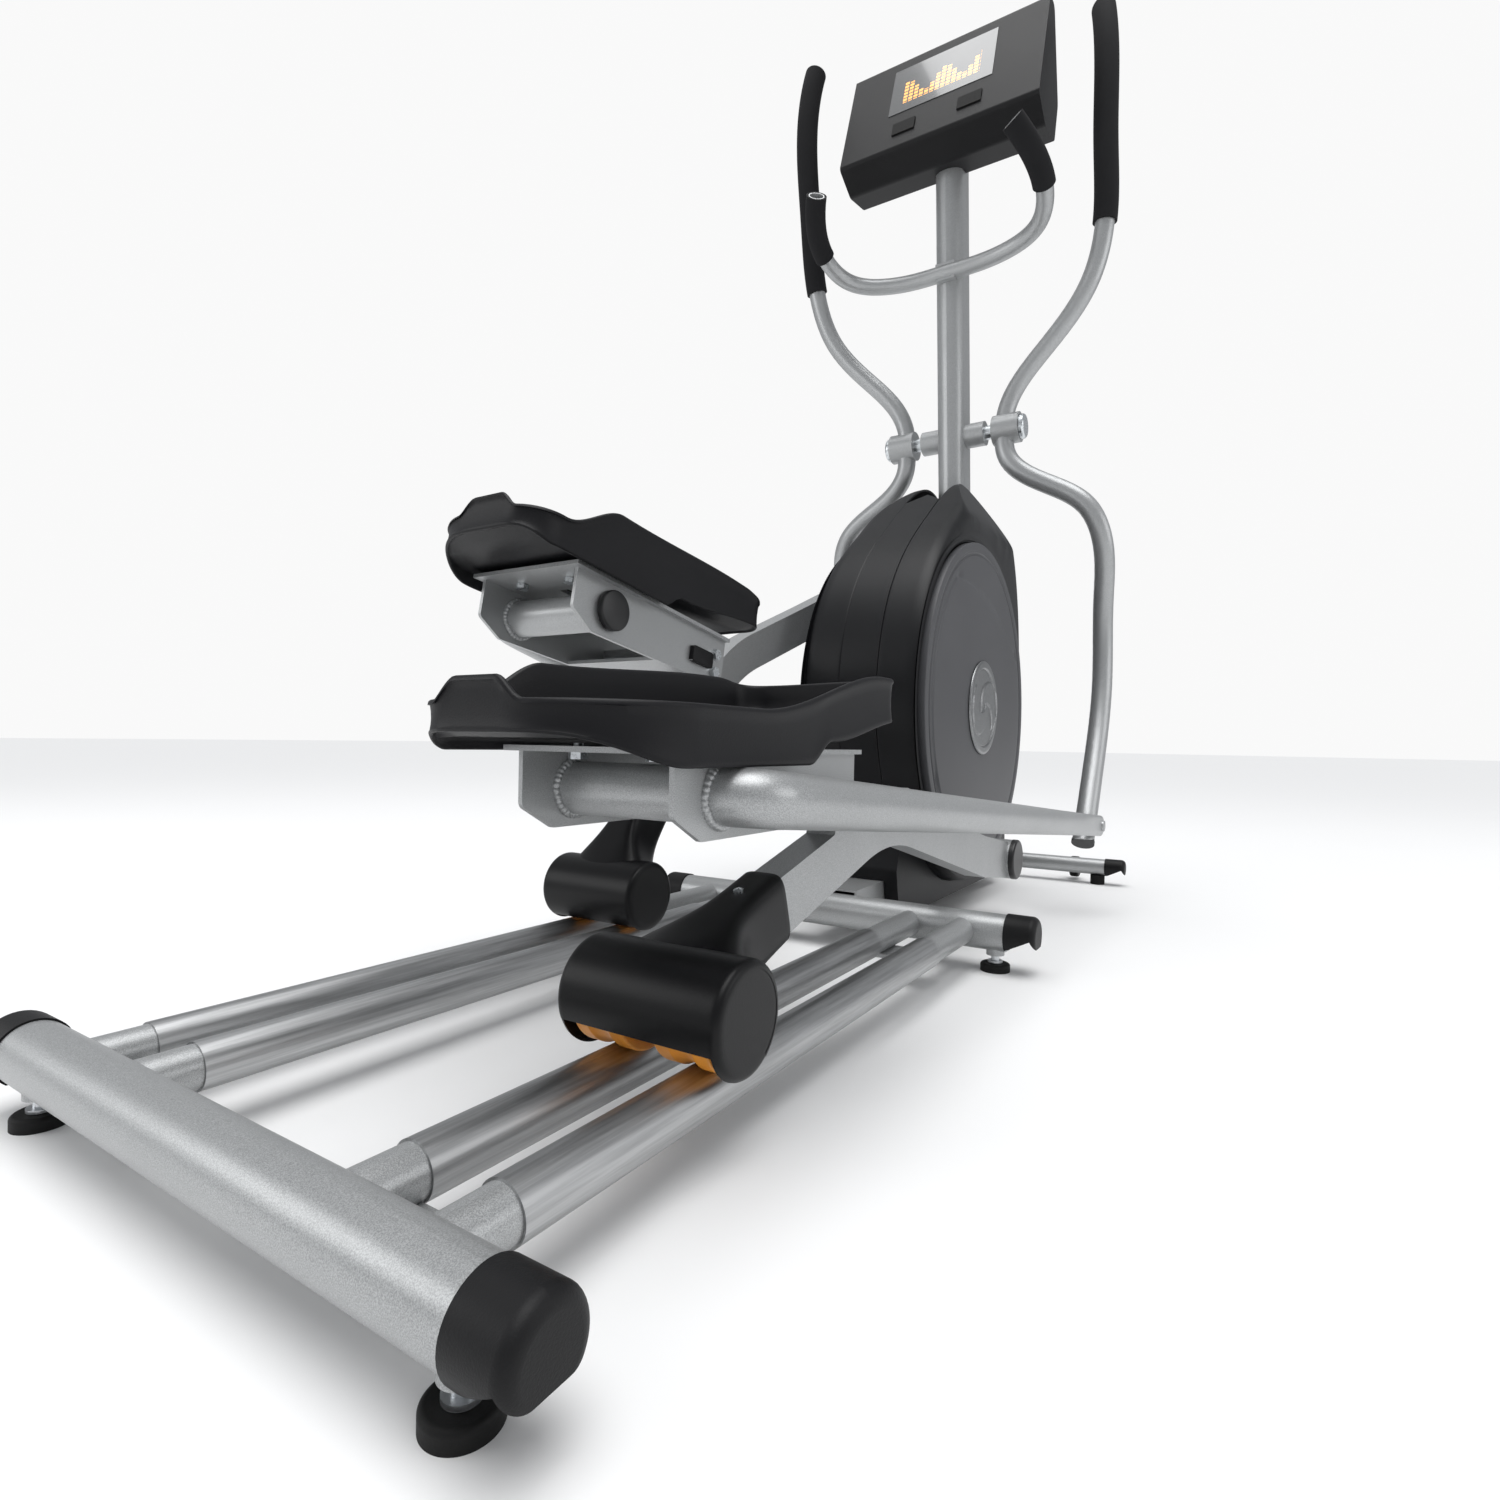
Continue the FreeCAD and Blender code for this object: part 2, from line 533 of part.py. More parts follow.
def belt_loop(extra):
    """Outline of the belt around both pulleys."""
    r1 = PULLEY_R + extra
    r2 = FLY_PULLEY_R + extra
    dx = FLY_X - CRANK_X
    dz = FLY_Z - CRANK_Z
    d = math.hypot(dx, dz)
    base = math.atan2(dz, dx)
    tilt = math.acos((r1 - r2) / d)
    spots = []
    for sign in (1, -1):
        a = base + sign * tilt
        spots.append((V(CRANK_X + r1 * math.cos(a), PULLEY_Y[0] + 2, CRANK_Z + r1 * math.sin(a)),
                      V(FLY_X + r2 * math.cos(a), PULLEY_Y[0] + 2, FLY_Z + r2 * math.sin(a))))
    back = V(CRANK_X - r1 * math.cos(base), PULLEY_Y[0] + 2, CRANK_Z - r1 * math.sin(base))
    front = V(FLY_X + r2 * math.cos(base), PULLEY_Y[0] + 2, FLY_Z + r2 * math.sin(base))
    wire = Part.Wire([Part.makeLine(spots[0][0], spots[0][1]), Part.Arc(spots[0][1], front, spots[1][1]).toShape(),
                      Part.makeLine(spots[1][1], spots[1][0]), Part.Arc(spots[1][0], back, spots[0][0]).toShape()])
    return Part.Face(wire).extrude(V(0, PULLEY_Y[1] - PULLEY_Y[0] - 4, 0))


keep("drive_belt", belt_loop(0.4 + BELT_T).cut(belt_loop(0.4)))

SHOE_PIVOT = (FLY_X - 92.0, FLY_Z + 62.0)
shoe = ring_y(FLY_X, FLY_Z, FLY_R + 14.0, FLY_R + 4.0, (FLY_Y[0] + 2, FLY_Y[1] - 2))
keep_zone = slab([(FLY_X, FLY_Z, 0), (FLY_X - 120, FLY_Z + 70, 0), (FLY_X - 70, FLY_Z + 150, 0),
                  (FLY_X + 50, FLY_Z + 130, 0)], (-60, 0))
shoe = shoe.common(keep_zone)
ear = ring_y(SHOE_PIVOT[0], SHOE_PIVOT[1], 9.0, 4.0 + RUN, (FLY_Y[0] + 2, FLY_Y[1] - 2))
shoe = join(shoe, ear.cut(rod_y(FLY_X, FLY_Z, FLY_R + 4.0, (-60, 0))))
shoe = shoe.cut(rod_y(SHOE_PIVOT[0], SHOE_PIVOT[1], 4.0 + RUN, (-70, 0)))
keep("brake_shoe", shoe)
stay = slab([(SHOE_PIVOT[0] - 8, SHOE_PIVOT[1] + 9, 7), (SHOE_PIVOT[0] + 8, SHOE_PIVOT[1] + 9, 7),
             (SHOE_PIVOT[0] + 10, SPINE_Z[1] + SLIP, 0), (SHOE_PIVOT[0] - 10, SPINE_Z[1] + SLIP, 0)],
            (FLY_Y[1] + 1, FLY_Y[1] + 5))
plates.append(join(stay, rod_y(SHOE_PIVOT[0], SHOE_PIVOT[1], 4.0, (FLY_Y[0] + 1, FLY_Y[1] + 3))))
group("flywheel_bracket", plates)


# ================================================================ side units
def roller_axle():
    """Axle of one roller unit, in the rail arm's frame."""
    return rod_y(0, 0, AXLE_R, (COVER_Y[0] + 6.5, COVER_Y[1] - 6.5))


def roller_wheels():
    """The two grooved wheels, one on each rail tube."""
    out = []
    for y in RAIL_Y:
        tyre = rod_y(0, 0, WHEEL_R, (y - WHEEL_HALF, y + WHEEL_HALF))
        tyre = tyre.makeFillet(2.0, [e for e in tyre.Edges if e.Length > 200])
        groove = Part.makeTorus(ROLLER_Z - RAIL_Z, SLEEVE_R + 0.6, V(0, y, 0), V(0, 1, 0))
        out.append(tyre.cut(groove).cut(rod_y(0, 0, AXLE_R + RUN, (0, 300))))
    return out


def rail_arm():
    """Knee-shaped box arm from the roller axle to the crank pin."""
    line = [(-4, 15, 4), (30, 41, 20), (99, 62, 0), (365, 133, 300), (625, 72, 0), (723, 50, 0),
            (ARM_L - 14, 28, 12), (ARM_L - 14, -28, 12), (723, -10, 0), (625, 15, 0), (365, 80, 240),
            (99, 9, 0), (24, -15, 12), (-4, -15, 4)]
    solid = slab(line, ARM_Y)
    core = Part.Face(rounded(line, ARM_Y[0] + 3.0).makeOffset2D(-3.0))
    core = core.extrude(V(0, ARM_Y[1] - ARM_Y[0] - 6.0, 0))
    solid = solid.cut(core.common(box((60, ARM_L - 40), (100, 200), (-100, 200))))
    thin = rod_y(0, 0, COVER_R + 1.0, (ARM_Y[0] - 1, ARM_Y[0] + 4.3))
    thick = rod_y(0, 0, COVER_R + 1.0, (ARM_Y[1] - 3.5, ARM_Y[1] + 1))
    solid = solid.cut(thin).cut(thick)
    eye = rod_y(0, 0, 19.0, (ARM_Y[0] + 4.3, ARM_Y[1] - 3.5))
    barrel = rod_y(ARM_L, 0, 31.0, (124.0, 176.0))
    hub = rod_y(PIVOT_A[0], PIVOT_A[1], 19.0, (139.0, 178.0))
    lug = slab([(PIVOT_A[0] - 34, PIVOT_A[1] - 40, 0), (PIVOT_A[0] + 36, PIVOT_A[1] - 20, 0),
                (PIVOT_A[0] + 17, PIVOT_A[1] + 6, 4), (PIVOT_A[0] - 17, PIVOT_A[1] + 6, 4)], ARM_Y)
    solid = join(solid, eye, barrel, hub, lug)
    solid = solid.cut(rod_y(0, 0, AXLE_R + RUN, (100, 200)))
    solid = solid.cut(rod_y(ARM_L, 0, 10.0 + SLIP, (100, 200)))
    return solid.cut(rod_y(PIVOT_A[0], PIVOT_A[1], 10.0 + RUN, (100, 200)))


def crank_pin():
    """Pin held in the arm's front barrel, capped outside; it stops short of the crank."""
    cap = rod_y(ARM_L, 0, 31.5, (176.2, 185.0))
    cap = cap.makeFillet(3.5, [e for e in cap.Edges if abs(e.CenterOfMass.y - 185.0) < 0.1])
    return join(rod_y(ARM_L, 0, 10.0, (DISC_Y[1] + 8.0 + OPEN_GAP, 178.0)),
                rod_y(ARM_L, 0, 16.0, (DISC_Y[1] + 8.0 + OPEN_GAP, 123.8)), cap)


def neck(shrink):
    """Moulded neck of the roller cover along the arm."""
    way = V(math.cos(math.radians(ARM_RISE)), 0, math.sin(math.radians(ARM_RISE)))
    mid_y = (COVER_Y[0] + COVER_Y[1]) / 2
    sections = []
    for d, half_y, half_z in ((10, 58, 30), (38, 46, 30), (62, 28, 31), (95, 20.5, 31.5), (140, 19, 31)):
        centre = way * d + V(0, mid_y, 3.0 + 3.0 * d / 140.0)
        sections.append(oval_wire(centre, half_y - shrink, half_z - shrink, way))
    return Part.makeLoft(sections, True, False)


def roller_cover():
    """Drum over the two wheels, open below, with a neck up the arm."""
    drum = rod_y(0, 0, COVER_R, COVER_Y)
    drum = drum.makeFillet(2.0, [e for e in drum.Edges if e.Length > 200])
    body = join(drum, neck(0.0))
    body = body.cut(rod_y(0, 0, COVER_R - COVER_T, (COVER_Y[0] + 3, COVER_Y[1] - 3)))
    body = body.cut(neck(COVER_T))
    half = (OPEN_REAR + OPEN_FRONT) / 2.0
    middle = (OPEN_FRONT - OPEN_REAR) / 2.0
    reach = 90.0
    a = math.radians(-90 + middle - half)
    b = math.radians(-90 + middle + half)
    m = math.radians(-90 + middle)
    sector = slab([(0, 0, 0), (reach * math.cos(a), reach * math.sin(a), 0),
                   (2 * reach * math.cos(m), 2 * reach * math.sin(m), 0),
                   (reach * math.cos(b), reach * math.sin(b), 0)], (COVER_Y[0] + 3, COVER_Y[1] - 3))
    body = body.cut(sector.common(rod_y(0, 0, COVER_R + 1, (80, 240))))
    gap = rail_arm().common(box((20, 220), (100, 220), (-60, 200)))
    body = body.cut(gap)
    return sorted(body.removeSplitter().Solids, key=lambda s: -s.Volume)[0]


def in_link(shape):
    """Carry a part drawn in the bracket's frame into the link's frame."""
    return pose(shape, BRACKET_AT, BRACKET_TILT)


def bracket_to_link(p):
    """An (x, z) pair from the bracket's frame into the link's frame."""
    q = turn2(p, BRACKET_TILT)
    return (q[0] + BRACKET_AT[0], q[1] + BRACKET_AT[1])


PLUG_AT = (213.0, -36.0)
PEDAL_BOLTS = [(24.0, 95.0), (24.0, 166.0), (150.0, 95.0), (150.0, 166.0)]
FRONT_BOLTS = [(243.0, -25.0), (243.0, -47.0)]


def pedal_bracket():
    """Folded channel: two chamfered cheeks, a wide top plate, a short floor."""
    cheek = [(0, 0, 0), (BRACKET_L, 0, 0), (BRACKET_L, -BRACKET_H + 8, 4), (BRACKET_L - 20, -BRACKET_H, 4),
             (30, -BRACKET_H, 6), (0, -44, 6)]
    body = slab(cheek, (PLATE_Y[0], PLATE_Y[0] + PLATE_T))
    body = body.fuse(slab(cheek, (PLATE_Y[1] - PLATE_T, PLATE_Y[1])))
    top = box((-8, BRACKET_L), (PLATE_Y[0] - 7, PLATE_Y[1] + 7), (-PLATE_T, 0))
    top = top.cut(box((50, 120), (124, 137), (-6, 1)))
    floor = box((134, BRACKET_L - 22), (PLATE_Y[0] + 1, PLATE_Y[1] - 1), (-BRACKET_H, -BRACKET_H + PLATE_T))
    bar = box((PLUG_AT[0] - 20, PLUG_AT[0] + 20), (PLATE_Y[0] - 5, PLATE_Y[1] - 1), (PLUG_AT[1] - 9, PLUG_AT[1] + 9))
    body = join(body, top, floor, bar)
    body = body.cut(rod_y(LINK_TUBE[0], LINK_TUBE[1], LINK_R + SLIP, (50, 210)))
    for x, y in PEDAL_BOLTS:
        body = body.cut(rod_z(x, y, 4.0 + SLIP, (-6, 1)))
    for x, z in FRONT_BOLTS:
        body = body.cut(rod_y(x, z, 4.0 + SLIP, (50, 80)))
    return in_link(body.removeSplitter())


def bracket_bolts():
    """Hexagon screws under the top plate and through the inner cheek."""
    out = []
    for x, y in PEDAL_BOLTS:
        head = Part.Face(Part.makePolygon([V(x + 7 * math.cos(i * math.pi / 3), y + 7 * math.sin(i * math.pi / 3), -9.5)
                                           for i in range(7)])).extrude(V(0, 0, 5.3))
        out.append(in_link(join(head, rod_z(x, y, 4.0, (-9.0, 2.0)))))
    for x, z in FRONT_BOLTS:
        pts = [V(x + 7 * math.cos(i * math.pi / 3), PLATE_Y[0] - 5.5, z + 7 * math.sin(i * math.pi / 3)) for i in range(7)]
        head = Part.Face(Part.makePolygon(pts)).extrude(V(0, 5.3, 0))
        out.append(in_link(join(head, rod_y(x, z, 4.0, (PLATE_Y[0] - 5.0, PLATE_Y[0] + 12)))))
    return out


def link_arm():
    """Lateral tube through the bracket, bent forwards into the long link."""
    cx, cz = bracket_to_link(LINK_TUBE)
    bend = LINK_Y[0] - 200.0
    rise = -cz / (LINK_L - cx)
    side = (LINK_Y[1] - LINK_Y[0]) / (LINK_L - cx)
    ray = V(1, side, rise).normalize()
    cross = rod_y(cx, cz, LINK_R, (56.0, 200.0))
    lid = rod_y(cx, cz, LINK_R + 1.0, (53.0, 60.8))
    lid = lid.makeFillet(1.5, [e for e in lid.Edges if abs(e.CenterOfMass.y - 53.0) < 0.1])
    disc_face = Part.Face(Part.Wire(Part.makeCircle(LINK_R, V(cx, 200.0, cz), V(0, 1, 0))))
    elbow = disc_face.revolve(V(cx + bend, 200.0, cz), V(0, 0, -1), 90.0)
    stations = [(cx + bend - 4.0, 20.8, 20.8), (cx + 200.0, 19.0, 19.6), (0.0, 18.0, 19.2), (260.0, 14.5, 18.4),
                (500.0, 9.5, 17.4), (LINK_L - 40.0, 4.4, 17.0), (LINK_L - 12.0, 4.0, 17.0)]
    wires = []
    for x, half_y, half_z in stations:
        spot = V(x, LINK_Y[0] + (x - cx) * side, cz + (x - cx) * rise)
        wires.append(oval_wire(spot, half_y, half_z, ray))
    body = Part.makeLoft(wires, True, False)
    tip_y = (LINK_Y[1] - 4.0, LINK_Y[1] + 4.0)
    tip = slab([(LINK_L - 60, 17, 2), (LINK_L + 17, 17, 16.5), (LINK_L + 17, -17, 16.5), (LINK_L - 60, -17, 2)], tip_y)
    head = rod_y(LINK_L, 0, 9.0, (tip_y[1] - 1, tip_y[1] + 4.0))
    pin = rod_y(0, 0, 10.0, (138.0, 232.0))
    collar = rod_y(0, 0, 16.0, (178.0 + SIDE, 232.0))
    return join(cross, lid, elbow, body, tip, head, pin, collar)


def tray_block(inset, z):
    """Upright block with the tray's outline, moved inwards by inset."""
    x = (PEDAL_REAR + inset, PEDAL_REAR + PEDAL_L - inset)
    y = (PEDAL_Y[0] + inset, PEDAL_Y[1] - inset)
    block = box(x, y, z)
    spots = ((x[0], y[0]), (x[0], y[1]), (x[1], y[0]), (x[1], y[1]))
    for spot, radius in zip(spots, PEDAL_CORNERS):
        edge = [e for e in block.Edges if abs(e.CenterOfMass.x - spot[0]) < 0.1 and abs(e.CenterOfMass.y - spot[1]) < 0.1]
        block = block.makeFillet(radius - inset, edge)
    return block


def pedal():
    """Foot tray: a horn at the heel, a low outer wall that sweeps up, a high inner wall."""
    skin = 4.0
    x0 = PEDAL_REAR - 5
    x1 = PEDAL_REAR + PEDAL_L + 5
    y0, y1 = PEDAL_Y
    mid_y = (y0 + y1) / 2
    f0, f1 = PEDAL_FLOOR
    floor_line = [(x0, f0, 0), (150, f0, 150), (x1, f1, 0)]
    pocket = tray_block(skin, (0.0, 90.0)).common(slab(floor_line + [(x1, 100, 0), (x0, 100, 0)], (y0, y1)))
    below = [(x, z - 7.0, r) for x, z, r in floor_line]
    under = tray_block(skin, (-40.0, 40.0)).common(slab(below + [(x1, -50, 0), (x0, -50, 0)], (y0, y1)))
    for spot in PEDAL_BOLTS:
        under = under.cut(rod_z(spot[0], spot[1], 12.0, (0.2, 20)))
    body = tray_block(0.0, (-13.0, 76.0)).cut(pocket).cut(under)
    top_out = [(x0, 28, 0), (75, 28, 60), (160, 46, 90), (228, 61, 60), (x1, 66, 0), (x1, 100, 0), (x0, 100, 0)]
    top_in = [(x0, 27, 0), (-35, 27, 25), (36, 62, 25), (250, 70, 90), (x1, 63, 0), (x1, 100, 0), (x0, 100, 0)]
    horn = box((x0, -45), (92, 128), (20, 42))
    body = body.cut(slab(top_out, (mid_y, y1 + 5)).cut(horn)).cut(slab(top_in, (y0 - 5, mid_y)).cut(horn))
    low_out = [(x0, 8, 0), (-60, 4, 20), (-20, -12, 30), (150, -12, 12), (180, 6, 12), (x1, 27, 0), (x1, -60, 0), (x0, -60, 0)]
    low_in = [(x0, 8, 0), (-50, -4, 20), (118, -4, 12), (145, 11, 12), (x1, 30, 0), (x1, -60, 0), (x0, -60, 0)]
    shell = tray_block(-2.0, (-60.0, 60.0)).cut(tray_block(skin, (-70.0, 70.0)))
    body = body.cut(shell.common(slab(low_out, (mid_y, y1 + 5)))).cut(shell.common(slab(low_in, (y0 - 5, mid_y))))
    for x, y in PEDAL_BOLTS:
        body = body.cut(rod_z(x, y, 4.0 + SLIP, (-20, 3)))
    body = body.cut(box((-8.5, BRACKET_L + 0.5), (PLATE_Y[0] - 7.5, PLATE_Y[1] + 7.5), (-20, 0.1)))
    body = sorted(body.removeSplitter().Solids, key=lambda s: -s.Volume)[0]
    return in_link(body)


def swing_arm():
    """Swing arm about its pivot: hub, lower tube to the link, upper handle."""
    y = SWING_Y
    hub_y = (HUB_Y[0] + HUB_Y[1]) / 2
    lower_line = [(-15, y, -747), (0, y, -SWING_L), (62, y, -605), (113, y, -453), (93, y, -311), (40, y, -205),
                  (26, y - 20, -160), (18, y - 84, -112), (4, hub_y + 8, -62), (0, hub_y - 4, -14)]
    upper_line = [(0, hub_y - 6, 6), (-2, hub_y + 4, 56), (-12, y - 92, 140), (-26, y - 24, 228), (-42, y, 320),
                  (-62, y, 450), (-72, y - 2, 590), (-52, y - 14, 715)]
    hub = rod_y(0, 0, 27.0, HUB_Y)
    tubes = pipe(lower_line, SWING_R).fuse(pipe(upper_line, HANDLE_R))
    boss = rod_y(0, -SWING_L, 16.0, (y, LINK_Y[1] - 4.0 - OPEN_GAP))
    body = join(hub, tubes, boss)
    body = body.cut(pipe(lower_line, SWING_R - 2.0).cut(rod_y(0, 0, 24.0, (60, 140))))
    body = body.cut(pipe(upper_line, HANDLE_R - 2.0).cut(rod_y(0, 0, 24.0, (60, 140))))
    body = body.cut(rod_y(0, 0, PIVOT_R + RUN, (60, 140)))
    end = V(*lower_line[0])
    way = (end - V(*lower_line[1])).normalize()
    body = join(body, Part.makeCylinder(SWING_R + 1.0, 5.5, end - way * 2.0, way))
    return sorted(body.Solids, key=lambda s: -s.Volume)[0], upper_line


def grip(line):
    """Foam grip over the top of the upper handle."""
    curve = Part.BSplineCurve()
    curve.interpolate([V(*p) for p in line])
    first = curve.parameter(V(*line[4]))
    last = curve.LastParameter
    pts = [curve.value(first + (last - first) * i / 8.0) for i in range(9)]
    coords = [(p.x, p.y, p.z) for p in pts]
    tip = curve.tangent(last)[0]
    outer_rod = pipe(coords, HANDLE_R + 4.0)
    inner_rod = pipe(coords, HANDLE_R + SLIP)
    end = V(*line[-1])
    lid = Part.makeCylinder(HANDLE_R + 4.0, 5.0, end + tip * 0.2, tip)
    lid = lid.makeFillet(3.5, [e for e in lid.Edges if (e.CenterOfMass - end).Length > 4.9])
    bridge = Part.makeCylinder(HANDLE_R + 4.0, 1.0, end - tip * 0.5, tip).cut(
        Part.makeCylinder(HANDLE_R + 1.0, 3.0, end - tip * 1.0, tip))
    return join(outer_rod.cut(inner_rod), lid, bridge)


swing_body, upper_line = swing_arm()
sides = (("right", right, CRANK_ANGLE), ("left", left, CRANK_ANGLE + 180.0))
for side, flip, angle in sides:
    roller, arm, pa, link, pb, swing = linkage(angle)
    print(side, "roller", roller, "arm", arm, "A", pa, "link", link, "B", pb, "swing", swing)
    keep("roller_axle_" + side, flip(pose(roller_axle(), roller, 0.0)))
    group("roller_wheels_" + side, [flip(pose(w, roller, 0.0)) for w in roller_wheels()])
    keep("rail_arm_" + side, flip(pose(rail_arm(), roller, arm)))
    keep("roller_cover_" + side, flip(pose(roller_cover(), roller, arm)))
    keep("crank_pin_" + side, flip(pose(crank_pin(), roller, arm)))
    keep("pedal_bracket_" + side, flip(pose(pedal_bracket(), pa, link)))
    group("bracket_bolts_" + side, [flip(pose(b, pa, link)) for b in bracket_bolts()])
    keep("link_arm_" + side, flip(pose(link_arm(), pa, link)))
    keep("pedal_" + side, flip(pose(pedal(), pa, link)))
    keep("swing_arm_" + side, flip(pose(swing_body, SWING_S, swing)))
    keep("swing_grip_" + side, flip(pose(grip(upper_line), SWING_S, swing)))

# ================================================================ console
face_a = (352.0, 1352.0)
face_b = (420.0, 1560.0)
case = [(face_a[0], face_a[1], 8), (400, 1326, 14), (470, 1340, 20), (492, 1420, 30), (452, 1566, 12),
        (face_b[0], face_b[1], 6)]
body = slab(case, (-180, 180))
inside = Part.Face(rounded(case, -176.0).makeOffset2D(-12.0)).extrude(V(0, 352.0, 0))
body = body.cut(inside)
body = body.cut(mast_prism(0.5, 1200.0, MAST_TOP + 3))
way = V(face_b[0] - face_a[0], 0, face_b[1] - face_a[1]).normalize()
out = V(-way.z, 0, way.x)
tilt = math.degrees(math.atan2(way.z, way.x))


def on_face(along, lift, size, y):
    """Plate lying on the sloping face: centre along, lift above, (length, thickness)."""
    plate = box((along - size[0] / 2, along + size[0] / 2), y, (lift, lift + size[1]))
    plate.rotate(V(0, 0, 0), V(0, -1, 0), tilt)
    plate.translate(V(face_a[0], 0, face_a[1]))
    return plate


body = body.cut(on_face(140.0, -3.0, (110.6, 8.0), (-95.3, 95.3)))
keep("console_screen", on_face(140.0, -2.8, (110.0, 3.6), (-95.0, 95.0)))
for name, y in (("start", -60.0), ("stop", 60.0)):
    body = body.cut(on_face(45.0, -7.0, (26.8, 12.0), (y - 21.4, y + 21.4)))
    keep("console_button_" + name, on_face(45.0, -3.6, (26.0, 6.0), (y - 21.0, y + 21.0)))
keep("console_body", sorted(body.removeSplitter().Solids, key=lambda s: -s.Volume)[0])

bar_z = 1150.0
bar_x = SWING_S[0] - (bar_z - SWING_S[1]) * math.tan(math.radians(MAST_LEAN))
bar_line = [(240, 168, 1236), (268, 184, 1214), (330, 196, 1182), (395, 172, 1160), (428, 110, 1152),
            (436, 50, 1150), (436, 0, 1150)]
bar_line = bar_line + [(p[0], -p[1], p[2]) for p in reversed(bar_line[:-1])]
bar = pipe(bar_line, 14.0).cut(pipe(bar_line, 12.0))
clamp = box((428, bar_x - 34), (-18, 18), (bar_z - 16, bar_z + 16))
bar = join(bar, clamp.cut(pipe(bar_line, 12.0)))
bar = bar.cut(mast_prism(SLIP, 1000.0, 1300.0))
keep("fixed_handlebar", sorted(bar.removeSplitter().Solids, key=lambda s: -s.Volume)[0])
curve = Part.BSplineCurve()
curve.interpolate([V(*p) for p in bar_line])
first = curve.FirstParameter
last = curve.parameter(V(*bar_line[2]))
pts = [curve.value(first + (last - first) * i / 6.0) for i in range(7)]
coords = [(p.x, p.y, p.z) for p in pts]
bar_grip = pipe(coords, 18.0).cut(pipe(coords, 14.0 + SLIP))
group("fixed_handlebar_grips", [left(bar_grip), right(bar_grip)])

# ================================================================ export
os.makedirs("parts", exist_ok=True)
total = None
for name in sorted(PARTS):
    shape = PARTS[name]
    shape.exportStep("parts/%s.step" % name)
    b = shape.BoundBox
    if total is None:
        total = FreeCAD.BoundBox(b)
    else:
        total.add(b)
    print("%-26s solids %d valid %s closed %s vol %.0f" % (name, len(shape.Solids), shape.isValid(),
                                                            all(s.isClosed() for s in shape.Solids), shape.Volume))
print("nodes", len(PARTS), "box", [round(v, 1) for v in (total.XMin, total.XMax, total.YMin, total.YMax, total.ZMin, total.ZMax)])
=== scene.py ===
"""Looks of a front-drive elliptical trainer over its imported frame.

Everything is in metres, X forwards along the rails, Y to the user's left, Z up.
Side pieces are worked out once for the left in their own flat frames and are
then turned, carried and, for the right side, mirrored.
"""
import json
import math

import bmesh
import bpy
import numpy as np
from mathutils import Matrix, Vector


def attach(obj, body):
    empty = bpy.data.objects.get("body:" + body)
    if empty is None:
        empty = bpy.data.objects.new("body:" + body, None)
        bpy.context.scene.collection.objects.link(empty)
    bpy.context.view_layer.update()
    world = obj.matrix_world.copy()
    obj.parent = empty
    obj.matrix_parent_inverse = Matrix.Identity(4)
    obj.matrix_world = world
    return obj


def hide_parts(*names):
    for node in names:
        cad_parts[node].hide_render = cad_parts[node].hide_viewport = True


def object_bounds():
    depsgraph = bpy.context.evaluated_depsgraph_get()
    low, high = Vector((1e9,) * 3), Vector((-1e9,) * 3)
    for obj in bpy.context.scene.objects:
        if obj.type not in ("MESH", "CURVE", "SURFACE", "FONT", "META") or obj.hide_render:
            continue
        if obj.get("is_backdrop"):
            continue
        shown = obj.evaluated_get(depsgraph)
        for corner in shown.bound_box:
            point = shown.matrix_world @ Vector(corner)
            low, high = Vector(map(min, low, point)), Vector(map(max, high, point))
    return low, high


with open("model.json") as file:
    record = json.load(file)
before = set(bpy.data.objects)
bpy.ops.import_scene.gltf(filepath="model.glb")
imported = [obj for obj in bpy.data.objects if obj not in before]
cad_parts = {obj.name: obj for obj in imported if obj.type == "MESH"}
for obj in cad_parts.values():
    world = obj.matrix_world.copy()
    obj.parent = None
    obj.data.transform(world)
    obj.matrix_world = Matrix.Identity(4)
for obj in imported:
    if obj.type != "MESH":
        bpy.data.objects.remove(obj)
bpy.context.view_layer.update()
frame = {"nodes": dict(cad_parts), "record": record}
MM = 0.001
MID_X = 2.15               # middle stabilizer, from the origin, mm

# the linkage, as in the part's source, mm and degrees
CRANK_R, CRANK_ANGLE, CRANK_X, CRANK_Z = 254.0, -105.4, 363.3, 344.4
ARM_L, PIVOT_A, ROLLER_Z = 868.0, (259.4, 126.2), 99.9
LINK_L, SWING_S, SWING_L = 739.55, (498.8, 865.0), 718.94
BRACKET_TILT, BRACKET_AT = 5.57, (-313.1, 20.1)
DISC_R, DISC_Y = 276.7, (88.0, 102.6)
SHELL_Y, BAND_Y = 94.6, 30.6     # half widths of the housing and of its middle band
RAIL_ARM_RISE = 16.2       # slope of the rail arm behind its knee, degrees
RAIL_ARM_Y = 158.3         # its middle plane
SHELL_LINE = [(77, 344), (88, 430), (120, 508), (172, 575), (232, 628), (290, 672), (345, 712),
              (400, 744), (455, 760), (505, 755), (552, 730), (594, 690), (628, 636), (654, 566),
              (671, 480), (677, 392), (671, 300), (648, 214), (604, 142), (545, 88), (466, 56),
              (376, 46), (286, 58), (205, 100), (142, 162), (97, 246)]
TRAY_X, TRAY_Y = (-80.0, 324.0), (43.0, 219.0)   # foot tray, in the bracket's frame
LINK_TUBE, LINK_Y = (52.5, -32.0), (228.0, 284.5)   # link's lateral tube; its planes, rear and front
PLUG_AT = (213.0, -36.0)
EYE_R = 17.0               # round tip of the pedal link
PLATE_INNER = 61.4         # outer face of the bracket's inner cheek


def turned(p, degrees):
    """An (x, z) pair turned nose-up by an angle."""
    c, s = math.cos(math.radians(degrees)), math.sin(math.radians(degrees))
    return (p[0] * c - p[1] * s, p[0] * s + p[1] * c)


